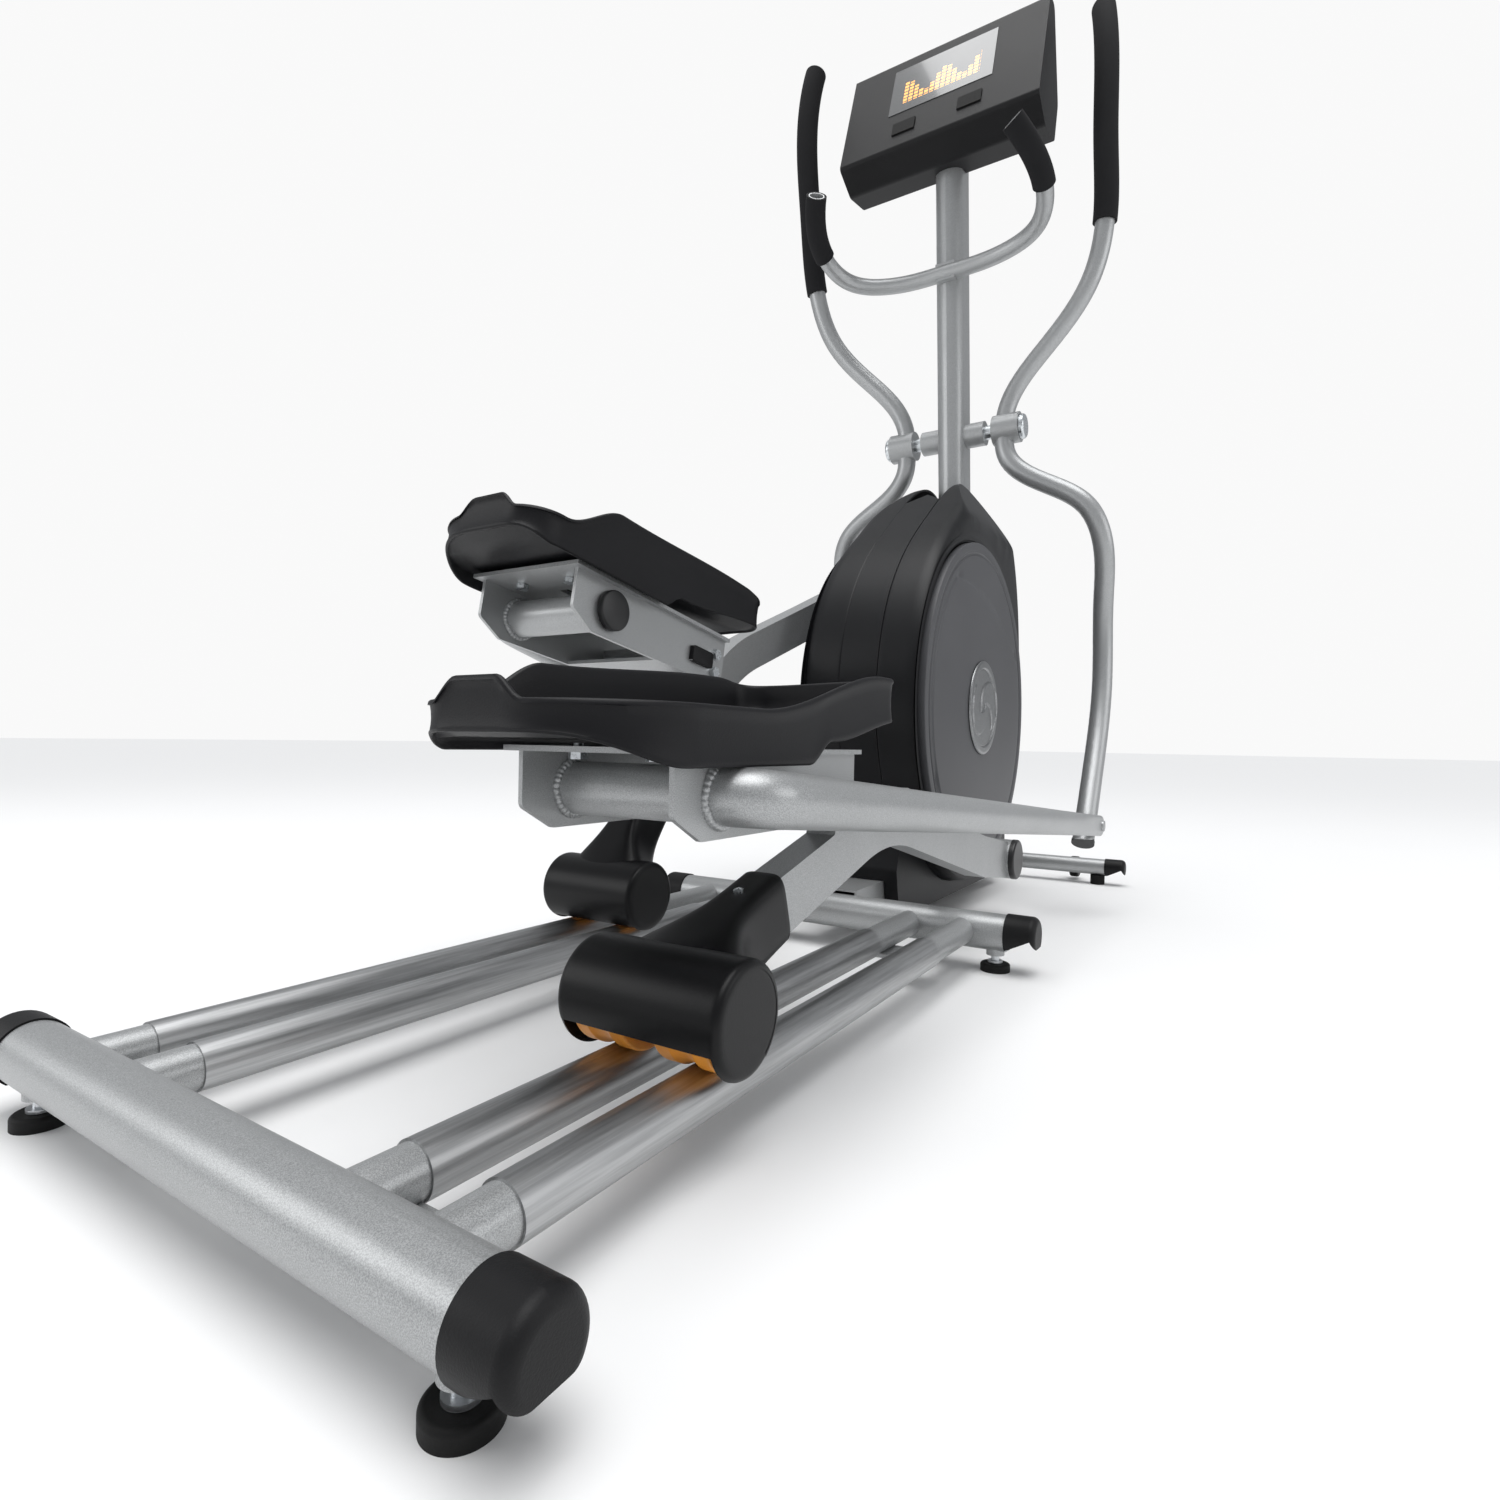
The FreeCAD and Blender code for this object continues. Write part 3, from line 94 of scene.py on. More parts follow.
def linkage(crank):
    """Roller place, arm angle, pivot A, link angle, swing angle for one crank angle."""
    a = math.radians(crank)
    pin = (CRANK_X + CRANK_R * math.cos(a), CRANK_Z + CRANK_R * math.sin(a))
    reach = math.sqrt(ARM_L ** 2 - (pin[1] - ROLLER_Z) ** 2)
    roller = (pin[0] - reach, ROLLER_Z)
    arm = math.degrees(math.atan2(pin[1] - ROLLER_Z, reach))
    off = turned(PIVOT_A, arm)
    pa = (roller[0] + off[0], roller[1] + off[1])
    dx, dz = SWING_S[0] - pa[0], SWING_S[1] - pa[1]
    d = math.hypot(dx, dz)
    along = (LINK_L ** 2 - SWING_L ** 2 + d * d) / (2 * d)
    across = math.sqrt(LINK_L ** 2 - along ** 2)
    pb = (pa[0] + along * dx / d + across * dz / d, pa[1] + along * dz / d - across * dx / d)
    link = math.degrees(math.atan2(pb[1] - pa[1], pb[0] - pa[0]))
    swing = math.degrees(math.atan2(pb[0] - SWING_S[0], SWING_S[1] - pb[1]))
    return {"roller": roller, "arm": arm, "pa": pa, "link": link, "pb": pb, "swing": swing}


SIDES = (("right", -1.0, linkage(CRANK_ANGLE), CRANK_ANGLE),
         ("left", 1.0, linkage(CRANK_ANGLE + 180.0), CRANK_ANGLE + 180.0))


# ---------------------------------------------------------------- surfaces
def carried(p, at, degrees, flip=1.0):
    """Points in a flat local frame, turned nose-up, carried to (x, z) and mirrored; mm in, metres out."""
    c, s = math.cos(math.radians(degrees)), math.sin(math.radians(degrees))
    x = p[..., 0] * c - p[..., 2] * s + at[0] + MID_X
    z = p[..., 0] * s + p[..., 2] * c + at[1]
    return np.stack([x, p[..., 1] * flip, z], -1) * MM


def quads(rows, cols, wrap_rows, wrap_cols):
    """Corner numbers of every cell of a rows x cols grid, which may close on itself either way."""
    i = np.arange(rows if wrap_rows else rows - 1)
    j = np.arange(cols if wrap_cols else cols - 1)
    i, j = (a.ravel() for a in np.meshgrid(i, j, indexing="ij"))
    n, m = (i + 1) % rows, (j + 1) % cols
    return np.stack([i * cols + j, n * cols + j, n * cols + m, i * cols + m], -1)


def made(name, body, material, patches, sharp=38.0, stands_for=(), outwards=True):
    """One finished piece from grids of points: (grid, rows wrap, columns wrap), welded where they meet."""
    verts, faces, start = [], [], 0
    for grid, wrap_rows, wrap_cols in patches:
        verts.append(grid.reshape(-1, 3))
        faces.append(quads(grid.shape[0], grid.shape[1], wrap_rows, wrap_cols) + start)
        start += grid.shape[0] * grid.shape[1]
    mesh = bpy.data.meshes.new(name)
    mesh.from_pydata(np.concatenate(verts).tolist(), [], np.concatenate(faces).tolist())
    work = bmesh.new()
    work.from_mesh(mesh)
    bmesh.ops.remove_doubles(work, verts=work.verts, dist=2e-6)
    bmesh.ops.dissolve_degenerate(work, dist=1e-7, edges=work.edges)
    if outwards:
        bmesh.ops.recalc_face_normals(work, faces=work.faces)
    work.to_mesh(mesh)
    work.free()
    mesh.polygons.foreach_set("use_smooth", np.ones(len(mesh.polygons), bool))
    mesh.set_sharp_from_angle(angle=math.radians(sharp))
    piece = bpy.data.objects.new(name, mesh)
    bpy.context.scene.collection.objects.link(piece)
    piece.data.materials.append(material)
    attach(piece, body)
    if stands_for:
        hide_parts(*stands_for)
    return piece


def smooth(a, b, x):
    """0 below a, 1 above b, and an S-shaped rise between."""
    t = np.clip((x - a) / (b - a), 0, 1)
    return t * t * (3 - 2 * t)


def lathe(profile, steps=72):
    """(radius, height) pairs turned about Y: x = r cos t, z = r sin t, y = height."""
    p = np.array(profile, float)
    t = np.linspace(0, 2 * np.pi, steps, endpoint=False)
    r, y = p[:, 0][:, None], p[:, 1][:, None]
    return np.stack([r * np.cos(t), y + 0 * t, r * np.sin(t)], -1)


def rounded_profile(points, radius, steps=5):
    """A polyline whose inner corners are replaced by arcs: each corner is a quadratic curve
    between the two spots that lie a radius away along its sides."""
    p = np.array(points, float)
    out = [p[:1]]
    t = np.linspace(0, 1, steps)[:, None]
    for a, b, c in zip(p[:-2], p[1:-1], p[2:]):
        la, lc = np.linalg.norm(a - b), np.linalg.norm(c - b)
        r = min(radius, la * 0.45, lc * 0.45)
        if r < 1e-6:
            out.append(b[None])
            continue
        s, e = b + (a - b) / la * r, b + (c - b) / lc * r
        out.append((1 - t) ** 2 * s + 2 * t * (1 - t) * b + t * t * e)
    out.append(p[-1:])
    return np.concatenate(out)


def bead(centre, major, minor, y, seed, steps=180):
    """Weld bead round a tube along Y: a torus whose section swells and sinks in overlapping scales,
    minor (1 + a |sin| of the scale count) with slow waves in its place."""
    t = np.linspace(0, 2 * np.pi, steps, endpoint=False)
    s = np.linspace(0, 2 * np.pi, 12, endpoint=False)
    rng = np.random.default_rng(seed)
    f = rng.uniform(0, 6.28, 4)
    scale = 0.84 + 0.26 * np.abs(np.sin(t * 17 + 0.7 * np.sin(3 * t + f[0]))) + 0.07 * np.sin(5 * t + f[1])
    shift = 0.5 * np.sin(4 * t + f[2]) + 0.3 * np.sin(9 * t + f[3])
    m = minor * scale[:, None]
    r = major + m * np.cos(s)
    x = centre[0] + r * np.cos(t)[:, None]
    z = centre[1] + r * np.sin(t)[:, None]
    return np.stack([x, y + shift[:, None] + m * np.sin(s) * 1.15, z], -1)


# ---------------------------------------------------------------- finishes
class Val:
    """A shader socket that takes part in ordinary sums."""

    def __init__(self, paint, socket):
        self.paint, self.socket = paint, socket

    def _sum(self, operation, a, b):
        return self.paint.node("ShaderNodeMath", {"operation": operation}, {0: a, 1: b})

    def __add__(self, o):
        return self._sum("ADD", self, o)

    def __radd__(self, o):
        return self._sum("ADD", o, self)

    def __sub__(self, o):
        return self._sum("SUBTRACT", self, o)

    def __rsub__(self, o):
        return self._sum("SUBTRACT", o, self)

    def __mul__(self, o):
        return self._sum("MULTIPLY", self, o)

    def __rmul__(self, o):
        return self._sum("MULTIPLY", o, self)

    def __truediv__(self, o):
        return self._sum("DIVIDE", self, o)

    def __pow__(self, o):
        return self._sum("POWER", self, o)

    def __gt__(self, o):
        return self._sum("GREATER_THAN", self, o)

    def __lt__(self, o):
        return self._sum("LESS_THAN", self, o)


class Paint:
    """One material: its principled shader and a short way to add nodes."""

    def __init__(self, name, colour, roughness, metallic=0.0, **fixed):
        self.material = bpy.data.materials.new(name)
        self.material.use_nodes = True
        self.tree = self.material.node_tree
        self.shader = self.tree.nodes["Principled BSDF"]
        self.put("Base Color", (*colour, 1.0))
        self.put("Roughness", roughness)
        self.put("Metallic", metallic)
        for key, value in fixed.items():
            self.put(key.replace("_", " "), value)

    def put(self, socket, value):
        """Links a value to the shader, or sets a plain one."""
        target = self.shader.inputs[socket]
        if isinstance(value, Val):
            self.tree.links.new(value.socket, target)
        else:
            target.default_value = value

    def node(self, kind, settings=None, inputs=None, out=0):
        """Any node: settings first, then the values or links of its sockets."""
        made_node = self.tree.nodes.new(kind)
        for key, value in (settings or {}).items():
            if key == "stops":
                ramp = made_node.color_ramp
                while len(ramp.elements) < len(value):
                    ramp.elements.new(0.5)
                for element, (place, colour) in zip(ramp.elements, value):
                    element.position, element.color = place, (*colour, 1.0)
            else:
                setattr(made_node, key, value)
        for key, value in (inputs or {}).items():
            if isinstance(value, Val):
                self.tree.links.new(value.socket, made_node.inputs[key])
            else:
                made_node.inputs[key].default_value = value
        return Val(self, made_node.outputs[out])

    def where(self):
        """Object coordinates."""
        return self.node("ShaderNodeTexCoord", out="Object")

    def part(self, axis):
        """One of the object coordinates, as a number."""
        return self.node("ShaderNodeSeparateXYZ", inputs={0: self.where()}, out=axis)

    def noise(self, scale, detail=3.0, rough=0.55, stretch=(1.0, 1.0, 1.0)):
        """Cloudy noise from 0 to 1; scale is cycles a metre."""
        spot = self.node("ShaderNodeMapping", inputs={"Vector": self.where(), "Scale": stretch})
        return self.node("ShaderNodeTexNoise",
                         inputs={"Vector": spot, "Scale": scale, "Detail": detail, "Roughness": rough})

    def step(self, value, low, high):
        """Smooth 0 to 1 as value goes from low to high."""
        return self.node("ShaderNodeMapRange", {"interpolation_type": "SMOOTHSTEP"},
                         {"Value": value, "From Min": low, "From Max": high})

    def mix(self, factor, a, b):
        """Colour a where factor is 0, b where it is 1."""
        a = a if isinstance(a, Val) else (*a, 1.0)
        b = b if isinstance(b, Val) else (*b, 1.0)
        return self.node("ShaderNodeMix", {"data_type": "RGBA"}, {0: factor, 6: a, 7: b}, out=2)

    def bump(self, height, distance, strength=1.0):
        """Height in units of distance, to the shader's normal."""
        raised = self.node("ShaderNodeBump",
                           inputs={"Height": height, "Distance": distance, "Strength": strength})
        self.put("Normal", raised)


def powder_coat(name="silver_powder_coat", dark=None):
    """Silver metallic powder: fine bright flakes in a satin film with faint orange peel.
    dark, if given, takes the paint and returns the mask of a black moulding in one node with the steel; on
    the swing arms that black is partly a real end cap and partly painted shade on the tube's lower end."""
    p = Paint(name, (0.5, 0.51, 0.52), 0.36, 0.62)
    flakes = p.noise(1500.0, 1.0, 0.5)
    cloud = p.noise(9.0, 3.0)
    shade = p.step(flakes, 0.28, 0.74)
    colour = p.mix(shade, (0.30, 0.307, 0.31), (0.50, 0.51, 0.515))
    colour = p.mix(p.step(cloud, 0.35, 0.75) * 0.22, colour, (0.33, 0.338, 0.34))
    rough = 0.30 + cloud * 0.09 + shade * 0.07
    metal = 0.55
    if dark is not None:
        # black over the mask: a black moulding, and on the swing arms also painted shade above the end cap
        mask = dark(p)
        colour = p.mix(mask, colour, (0.013, 0.013, 0.014))
        rough = rough * (1 - mask) + mask * 0.42
        metal = 0.55 * (1 - mask)
    p.put("Base Color", colour)
    p.put("Roughness", rough)
    p.put("Metallic", metal)
    p.bump(p.noise(520.0, 2.0) + flakes * 0.25, 0.00010, 0.55)
    return p.material


def moulding(name, low, high, rough, grain, depth, drift=5.0, shine=0.22):
    """Injection moulding: fine spark-eroded grain, slow gloss drift and a little rubbed colour."""
    p = Paint(name, low, rough, 0.0, Specular_IOR_Level=shine)
    fine = p.noise(grain, 2.0, 0.6)
    slow = p.noise(drift, 3.0)
    p.put("Base Color", p.mix(p.step(slow, 0.3, 0.75) * 0.6 + fine * 0.25, low, high))
    p.put("Roughness", rough - 0.05 + slow * 0.10 + fine * 0.05)
    p.bump(fine, depth, 0.6)
    return p.material


def brushed(name, colour, rough, stretch, dark=None):
    """Drawn or brushed metal: noise stretched along the work, in colour, gloss and height."""
    p = Paint(name, colour, rough, 1.0)
    lines = p.noise(340.0, 3.0, 0.6, stretch)
    cloud = p.noise(14.0, 2.0)
    darker = tuple(c * 0.80 for c in colour)
    paler = tuple(min(1, c * 1.08) for c in colour)
    tint = p.mix(p.step(lines, 0.3, 0.7), darker, paler)
    gloss = rough - 0.07 + lines * 0.14 + cloud * 0.05
    if dark is not None:
        mask = dark(p)
        tint = p.mix(mask, tint, (0.012, 0.012, 0.013))
        gloss = gloss * (1 - mask) + mask * 0.36
        p.put("Metallic", 1 - mask)
    p.put("Base Color", tint)
    p.put("Roughness", gloss)
    p.bump(lines, 0.00005, 0.4)
    return p.material


def rubber(name, colour, rough=0.7, zinc_above=None):
    """Matt rubber with a fine open grain; a stud above a height may be zinc."""
    p = Paint(name, colour, rough, 0.0, Specular_IOR_Level=0.2)
    grain = p.noise(700.0, 3.0, 0.7)
    cloud = p.noise(20.0, 2.0)
    tint = p.mix(cloud, colour, tuple(min(1.0, c * 1.4 + 0.002) for c in colour))
    gloss = rough - 0.08 + grain * 0.16
    if zinc_above:
        mask = p.step(p.part(2), zinc_above, zinc_above + 0.0006)
        tint = p.mix(mask, tint, (0.62, 0.64, 0.66))
        gloss = gloss * (1 - mask) + mask * 0.3
        p.put("Metallic", mask)
    p.put("Base Color", tint)
    p.put("Roughness", gloss)
    p.bump(grain, 0.00015, 0.6)
    return p.material


def urethane():
    """Cast orange tread: slightly waxy, with darker clouds in its colour and a fine grain."""
    p = Paint("orange_urethane", (0.84, 0.30, 0.03), 0.42, 0.0, Subsurface_Weight=0.06)
    cloud = p.noise(60.0, 4.0)
    p.put("Base Color", p.mix(p.step(cloud, 0.35, 0.75) * 0.55, (0.86, 0.33, 0.035), (0.66, 0.24, 0.035)))
    p.put("Roughness", 0.34 + cloud * 0.2)
    p.bump(p.noise(900.0, 2.0), 0.00006, 0.5)
    return p.material


def casting():
    """Grey iron: pebbled skin with paler machined rubs."""
    p = Paint("cast_iron", (0.14, 0.14, 0.145), 0.5, 0.8)
    skin = p.noise(260.0, 5.0, 0.65)
    p.put("Base Color", p.mix(skin, (0.09, 0.09, 0.095), (0.22, 0.22, 0.225)))
    p.put("Roughness", 0.4 + skin * 0.3)
    p.bump(skin, 0.0003, 0.5)
    return p.material


def display():
    """Dark window with a row of amber column bars under a sine curve, all made up."""
    p = Paint("display_window", (0.012, 0.015, 0.018), 0.12, 0.0, Coat_Weight=0.6, Coat_Roughness=0.04)
    y = p.part(1)
    z = p.part(2)
    cell_y = p.node("ShaderNodeMath", {"operation": "FRACT"}, {0: (y + 0.1) * 100.0})
    cell_z = p.node("ShaderNodeMath", {"operation": "FRACT"}, {0: z * 130.0})
    number = p.node("ShaderNodeMath", {"operation": "FLOOR"}, {0: (y + 0.1) * 100.0})
    tall = p.node("ShaderNodeMath", {"operation": "SINE"}, {0: number * 0.9}) * 0.018 + 1.483
    lit = (cell_y > 0.25) * (cell_z > 0.3) * (z < tall) * (z > 1.452)
    lit = lit * (y < 0.0705) * (y > -0.0705)
    p.put("Base Color", p.mix(lit, (0.010, 0.013, 0.016), (0.5, 0.22, 0.03)))
    p.put("Emission Color", p.mix(lit, (0.0, 0.0, 0.0), (1.0, 0.42, 0.06)))
    p.shader.inputs["Emission Strength"].default_value = 1.2
    p.put("Roughness", 0.10 + p.noise(30.0) * 0.06)
    return p.material


SILVER = powder_coat()
SATIN_ALU = brushed("satin_aluminium", (0.46, 0.465, 0.47), 0.38, (0.03, 1.0, 1.0))
ZINC = brushed("bright_zinc", (0.66, 0.69, 0.71), 0.26, (1.0, 0.15, 1.0))
PLASTIC = moulding("black_moulding", (0.004, 0.004, 0.0045), (0.009, 0.009, 0.010), 0.46, 900.0, 0.00022)
COVER = moulding("roller_cover_black", (0.003, 0.003, 0.0035), (0.007, 0.007, 0.008), 0.34, 700.0, 0.00012)
TRAY = moulding("tray_charcoal", (0.004, 0.004, 0.005), (0.009, 0.009, 0.011), 0.43, 850.0, 0.00018)
HOUSING = moulding("housing_charcoal", (0.005, 0.0052, 0.006), (0.010, 0.0103, 0.012), 0.38, 800.0, 0.00010)
DISC = moulding("disc_grey", (0.062, 0.063, 0.068), (0.084, 0.085, 0.091), 0.40, 700.0, 0.00010, shine=0.35)
RUBBER = rubber("black_rubber", (0.006, 0.006, 0.006))
FOOT = rubber("foot_rubber_and_stud", (0.006, 0.006, 0.006), 0.6, zinc_above=0.0102)
FOAM = rubber("grip_foam", (0.008, 0.008, 0.009), 0.82)
BELT = rubber("belt_rubber", (0.012, 0.012, 0.012), 0.62)
ORANGE = urethane()
IRON = casting()
WINDOW = display()
LINK_STEEL = powder_coat("silver_with_black_lid", lambda p: p.node(
    "ShaderNodeMath", {"operation": "ABSOLUTE"}, {0: p.part(1)}) < 0.0609)
PIN_STEEL = brushed("pin_steel_and_cap", (0.6, 0.61, 0.62), 0.28, (1.0, 0.15, 1.0), lambda p: p.node(
    "ShaderNodeMath", {"operation": "ABSOLUTE"}, {0: p.part(1)}) > 0.1761)

finish_of = {"silver_steel": SILVER, "bare_aluminium": SATIN_ALU, "black_plastic": PLASTIC,
             "housing_plastic": HOUSING, "disc_plastic": DISC, "orange_urethane": ORANGE,
             "zinc_steel": ZINC, "black_rubber": RUBBER, "grip_foam": FOAM, "cast_iron": IRON,
             "lcd_panel": WINDOW}
special = {"drive_belt": BELT}
for side, flip, at, crank in SIDES:
    special["roller_cover_" + side] = COVER
    special["link_arm_" + side] = LINK_STEEL
    special["crank_pin_" + side] = PIN_STEEL
    # below the link's eye the swing tube is painted black: a black end cap at its foot, and painted shade on
    # the tube's lower end above it
    low = (at["pb"][1] - 21.0) * MM
    special["swing_arm_" + side] = powder_coat("swing_steel_" + side, lambda p, low=low: p.part(2) < low)
    special["levelling_foot_mid_" + side] = FOOT
    special["levelling_foot_rear_" + side] = FOOT
for row in frame["record"]["subparts"]:
    node = frame["nodes"][row["node"]]
    node.data.materials.clear()
    node.data.materials.append(special.get(row["node"], finish_of[row["material_slot"]]))


# ---------------------------------------------------------------- pedals
def tray_outline(count):
    """Outline of the tray at evenly spaced points, and its outward normals: a rectangle whose four
    corners are arcs of their own radii."""
    corners = (((TRAY_X[0], TRAY_Y[1]), 85.0, 90.0), ((TRAY_X[0], TRAY_Y[0]), 38.0, 180.0),
               ((TRAY_X[1], TRAY_Y[0]), 30.0, 270.0), ((TRAY_X[1], TRAY_Y[1]), 26.0, 0.0))
    pts = []
    for (x, y), radius, first in corners:
        cx = x + (radius if x < 0 else -radius)
        cy = y + (radius if y < 100 else -radius)
        for a in np.radians(np.linspace(first, first + 90.0, 60)):
            pts.append((cx + radius * math.cos(a), cy + radius * math.sin(a)))
    pts = np.array(pts + pts[:1])
    run = np.concatenate([[0], np.cumsum(np.linalg.norm(np.diff(pts, axis=0), axis=1))])
    at = np.linspace(0, run[-1], count, endpoint=False)
    x, y = np.interp(at, run, pts[:, 0]), np.interp(at, run, pts[:, 1])
    tx, ty = np.roll(x, -1) - np.roll(x, 1), np.roll(y, -1) - np.roll(y, 1)
    size = np.hypot(tx, ty)
    return x, y, ty / size, -tx / size


def tray_floor(x):
    """Top of the floor at x: level under the heel, then a straight ramp to the toe; the two lines
    meet in a hyperbola, 12 + 24 (d + sqrt(d^2 + 30^2)) / 358 with d = x - 150."""
    d = x - 150.0
    return 12.0 + 24.0 * (d + np.sqrt(d * d + 900.0)) / 358.0


def rim_height(x, y):
    """Top of the tray wall: low at the heel with a raised horn in its middle, high from the arch
    on along the inner side, and sweeping up to the toe along the outer side."""
    inner = 1 - smooth(80, 180, y)
    horn = 14.0 * smooth(70, 92, y) * (1 - smooth(128, 150, y)) * (1 - smooth(-60, -20, x))
    inside = 34.0 * smooth(-40, 36, x) + 8.0 * smooth(36, 250, x) - 6.0 * smooth(270, 324, x)
    return 28.0 + horn + inner * inside + (1 - inner) * 38.0 * smooth(75, 285, x)


def skirt_foot(x, y):
    """Lowest edge of the tray wall: deep under the middle and cut up at heel and toe."""
    inner = 1 - smooth(80, 180, y)
    outer = 8.0 - 20.0 * smooth(-84, -10, x) + 18.0 * smooth(146, 182, x) + 20.0 * smooth(182, 325, x)
    inside = 8.0 - 12.0 * smooth(-84, -50, x) + 15.0 * smooth(118, 145, x) + 17.0 * smooth(145, 312, x)
    return outer * (1 - inner) + inside * inner


def tray_patches():
    """The foot tray in the bracket's frame: every outline point carries one closed section, from
    the middle of the underside out, down the inside of the skirt, up the outer wall, over the
    rounded rim, down to the floor and back to the middle line."""
    x, y, nx, ny = tray_outline(420)
    top, foot = rim_height(x, y), skirt_foot(x, y)
    mid_x = np.clip(x, 10.0, 290.0)
    cols = []

    def ring(inset, z):
        cols.append(np.stack([x - nx * inset, y - ny * inset, z + 0 * x], -1))

    def fill(share, drop):
        ax, ay = x - nx * 18.0, y - ny * 18.0
        px, py = ax + (mid_x - ax) * share, ay + (131.0 - ay) * share
        cols.append(np.stack([px, py, tray_floor(px) - drop], -1))

    under = tray_floor(x) - 7.0
    for share in (1.0, 0.66, 0.33, 0.0):
        fill(share, 7.0)
    ring(7.5, np.maximum(under - 1.2, foot + 2.0))
    ring(4.6, np.maximum(under - 4.0, foot + 1.7))
    ring(4.2, foot + 1.3)
    ring(3.2, foot + 0.3)
    ring(2.2, foot + 0.0)
    ring(1.1, foot + 0.5)
    ring(0.5, foot + 2.0)
    for share in (0.12, 0.3, 0.5, 0.7, 0.86):
        ring(0.5 + 1.4 * math.sin(math.pi * share), foot + (top - foot) * share)
    for inset, drop in ((-0.3, 3.4), (0.1, 1.4), (1.2, 0.3), (2.4, 0.0), (3.8, 0.4), (5.0, 1.8), (5.6, 4.0)):
        ring(inset, top - drop)
    floor = tray_floor(x)
    for share in (0.25, 0.55, 0.8):
        ring(6.0 + 2.2 * share, top - 4.0 + (floor + 5.0 - top + 4.0) * share)
    ring(10.0, floor + 2.8)
    ring(13.0, floor + 0.9)
    ring(18.0, floor + 0.1)
    for share in (0.33, 0.66, 1.0):
        fill(share, 0.0)
    return np.stack(cols, 1)


def tread_patch():
    """Raised ribs on the floor: z = floor + rib, where rib is a rounded square wave across the
    length, bent into chevrons by the distance from the middle line, and fades to 0 at the border."""
    u = np.linspace(-1, 1, 281)[:, None]
    v = np.linspace(-1, 1, 81)[None, :]
    x = 117.0 + 176.0 * u + 0 * v
    wide = np.where(x < 5.0, 134.0 + np.sqrt(np.maximum(69.0 ** 2 - (5.0 - x) ** 2, 0.0)), 203.0)
    slim = np.where(x < -42.0, 81.0 - np.sqrt(np.maximum(22.0 ** 2 - (x + 42.0) ** 2, 0.0)), 59.0)
    y = (wide + slim) / 2 + (wide - slim) / 2 * v
    wave = np.sin((x + 26.0 * np.abs(y - 131.0) / 66.0) * 2 * np.pi / 13.0)
    rib = 1.5 * smooth(-0.25, 0.35, wave)
    edge = (1 - smooth(0.93, 1.0, np.abs(u))) * (1 - smooth(0.90, 1.0, np.abs(v)))
    split = smooth(0.02, 0.05, np.abs(v))
    z = tray_floor(x) - 0.4 + edge * (1.2 + rib * split)
    top = np.stack([x, y, z + 0 * x], -1)
    under = top.copy()
    under[..., 2] = tray_floor(x) - 1.0
    rim_top = np.concatenate([top[:, 0], top[-1, 1:], top[-2::-1, -1], top[0, -2:0:-1]])
    rim_low = rim_top.copy()
    rim_low[:, 2] = tray_floor(rim_low[:, 0]) - 1.0
    return [(top, False, False), (under[:, ::-1], False, False), (np.stack([rim_top, rim_low]), False, True)]


def swept(path, half_side, half_up, power=2.0, steps=40):
    """Superellipse section along a path that stays near level: path + a |cos t|^(2/n) side +
    b |sin t|^(2/n) up, each with its sign, closed to a point at both ends."""
    path = np.array(path, float)
    way = np.gradient(path, axis=0)
    way /= np.linalg.norm(way, axis=1)[:, None]
    side = np.cross(way, np.array([0.0, 0.0, 1.0]))
    side /= np.linalg.norm(side, axis=1)[:, None]
    up = np.cross(side, way)
    t = np.linspace(0, 2 * np.pi, steps, endpoint=False)
    n = np.broadcast_to(np.asarray(power, float).reshape(-1, 1), (len(path), 1))
    c = np.sign(np.cos(t)) * np.abs(np.cos(t)) ** (2.0 / n) * np.asarray(half_side, float).reshape(-1, 1)
    u = np.sign(np.sin(t)) * np.abs(np.sin(t)) ** (2.0 / n) * np.asarray(half_up, float).reshape(-1, 1)
    ring = path[:, None] + side[:, None] * c[..., None] + up[:, None] * u[..., None]
    return np.concatenate([path[None, :1].repeat(steps, 1), ring, path[None, -1:].repeat(steps, 1)])


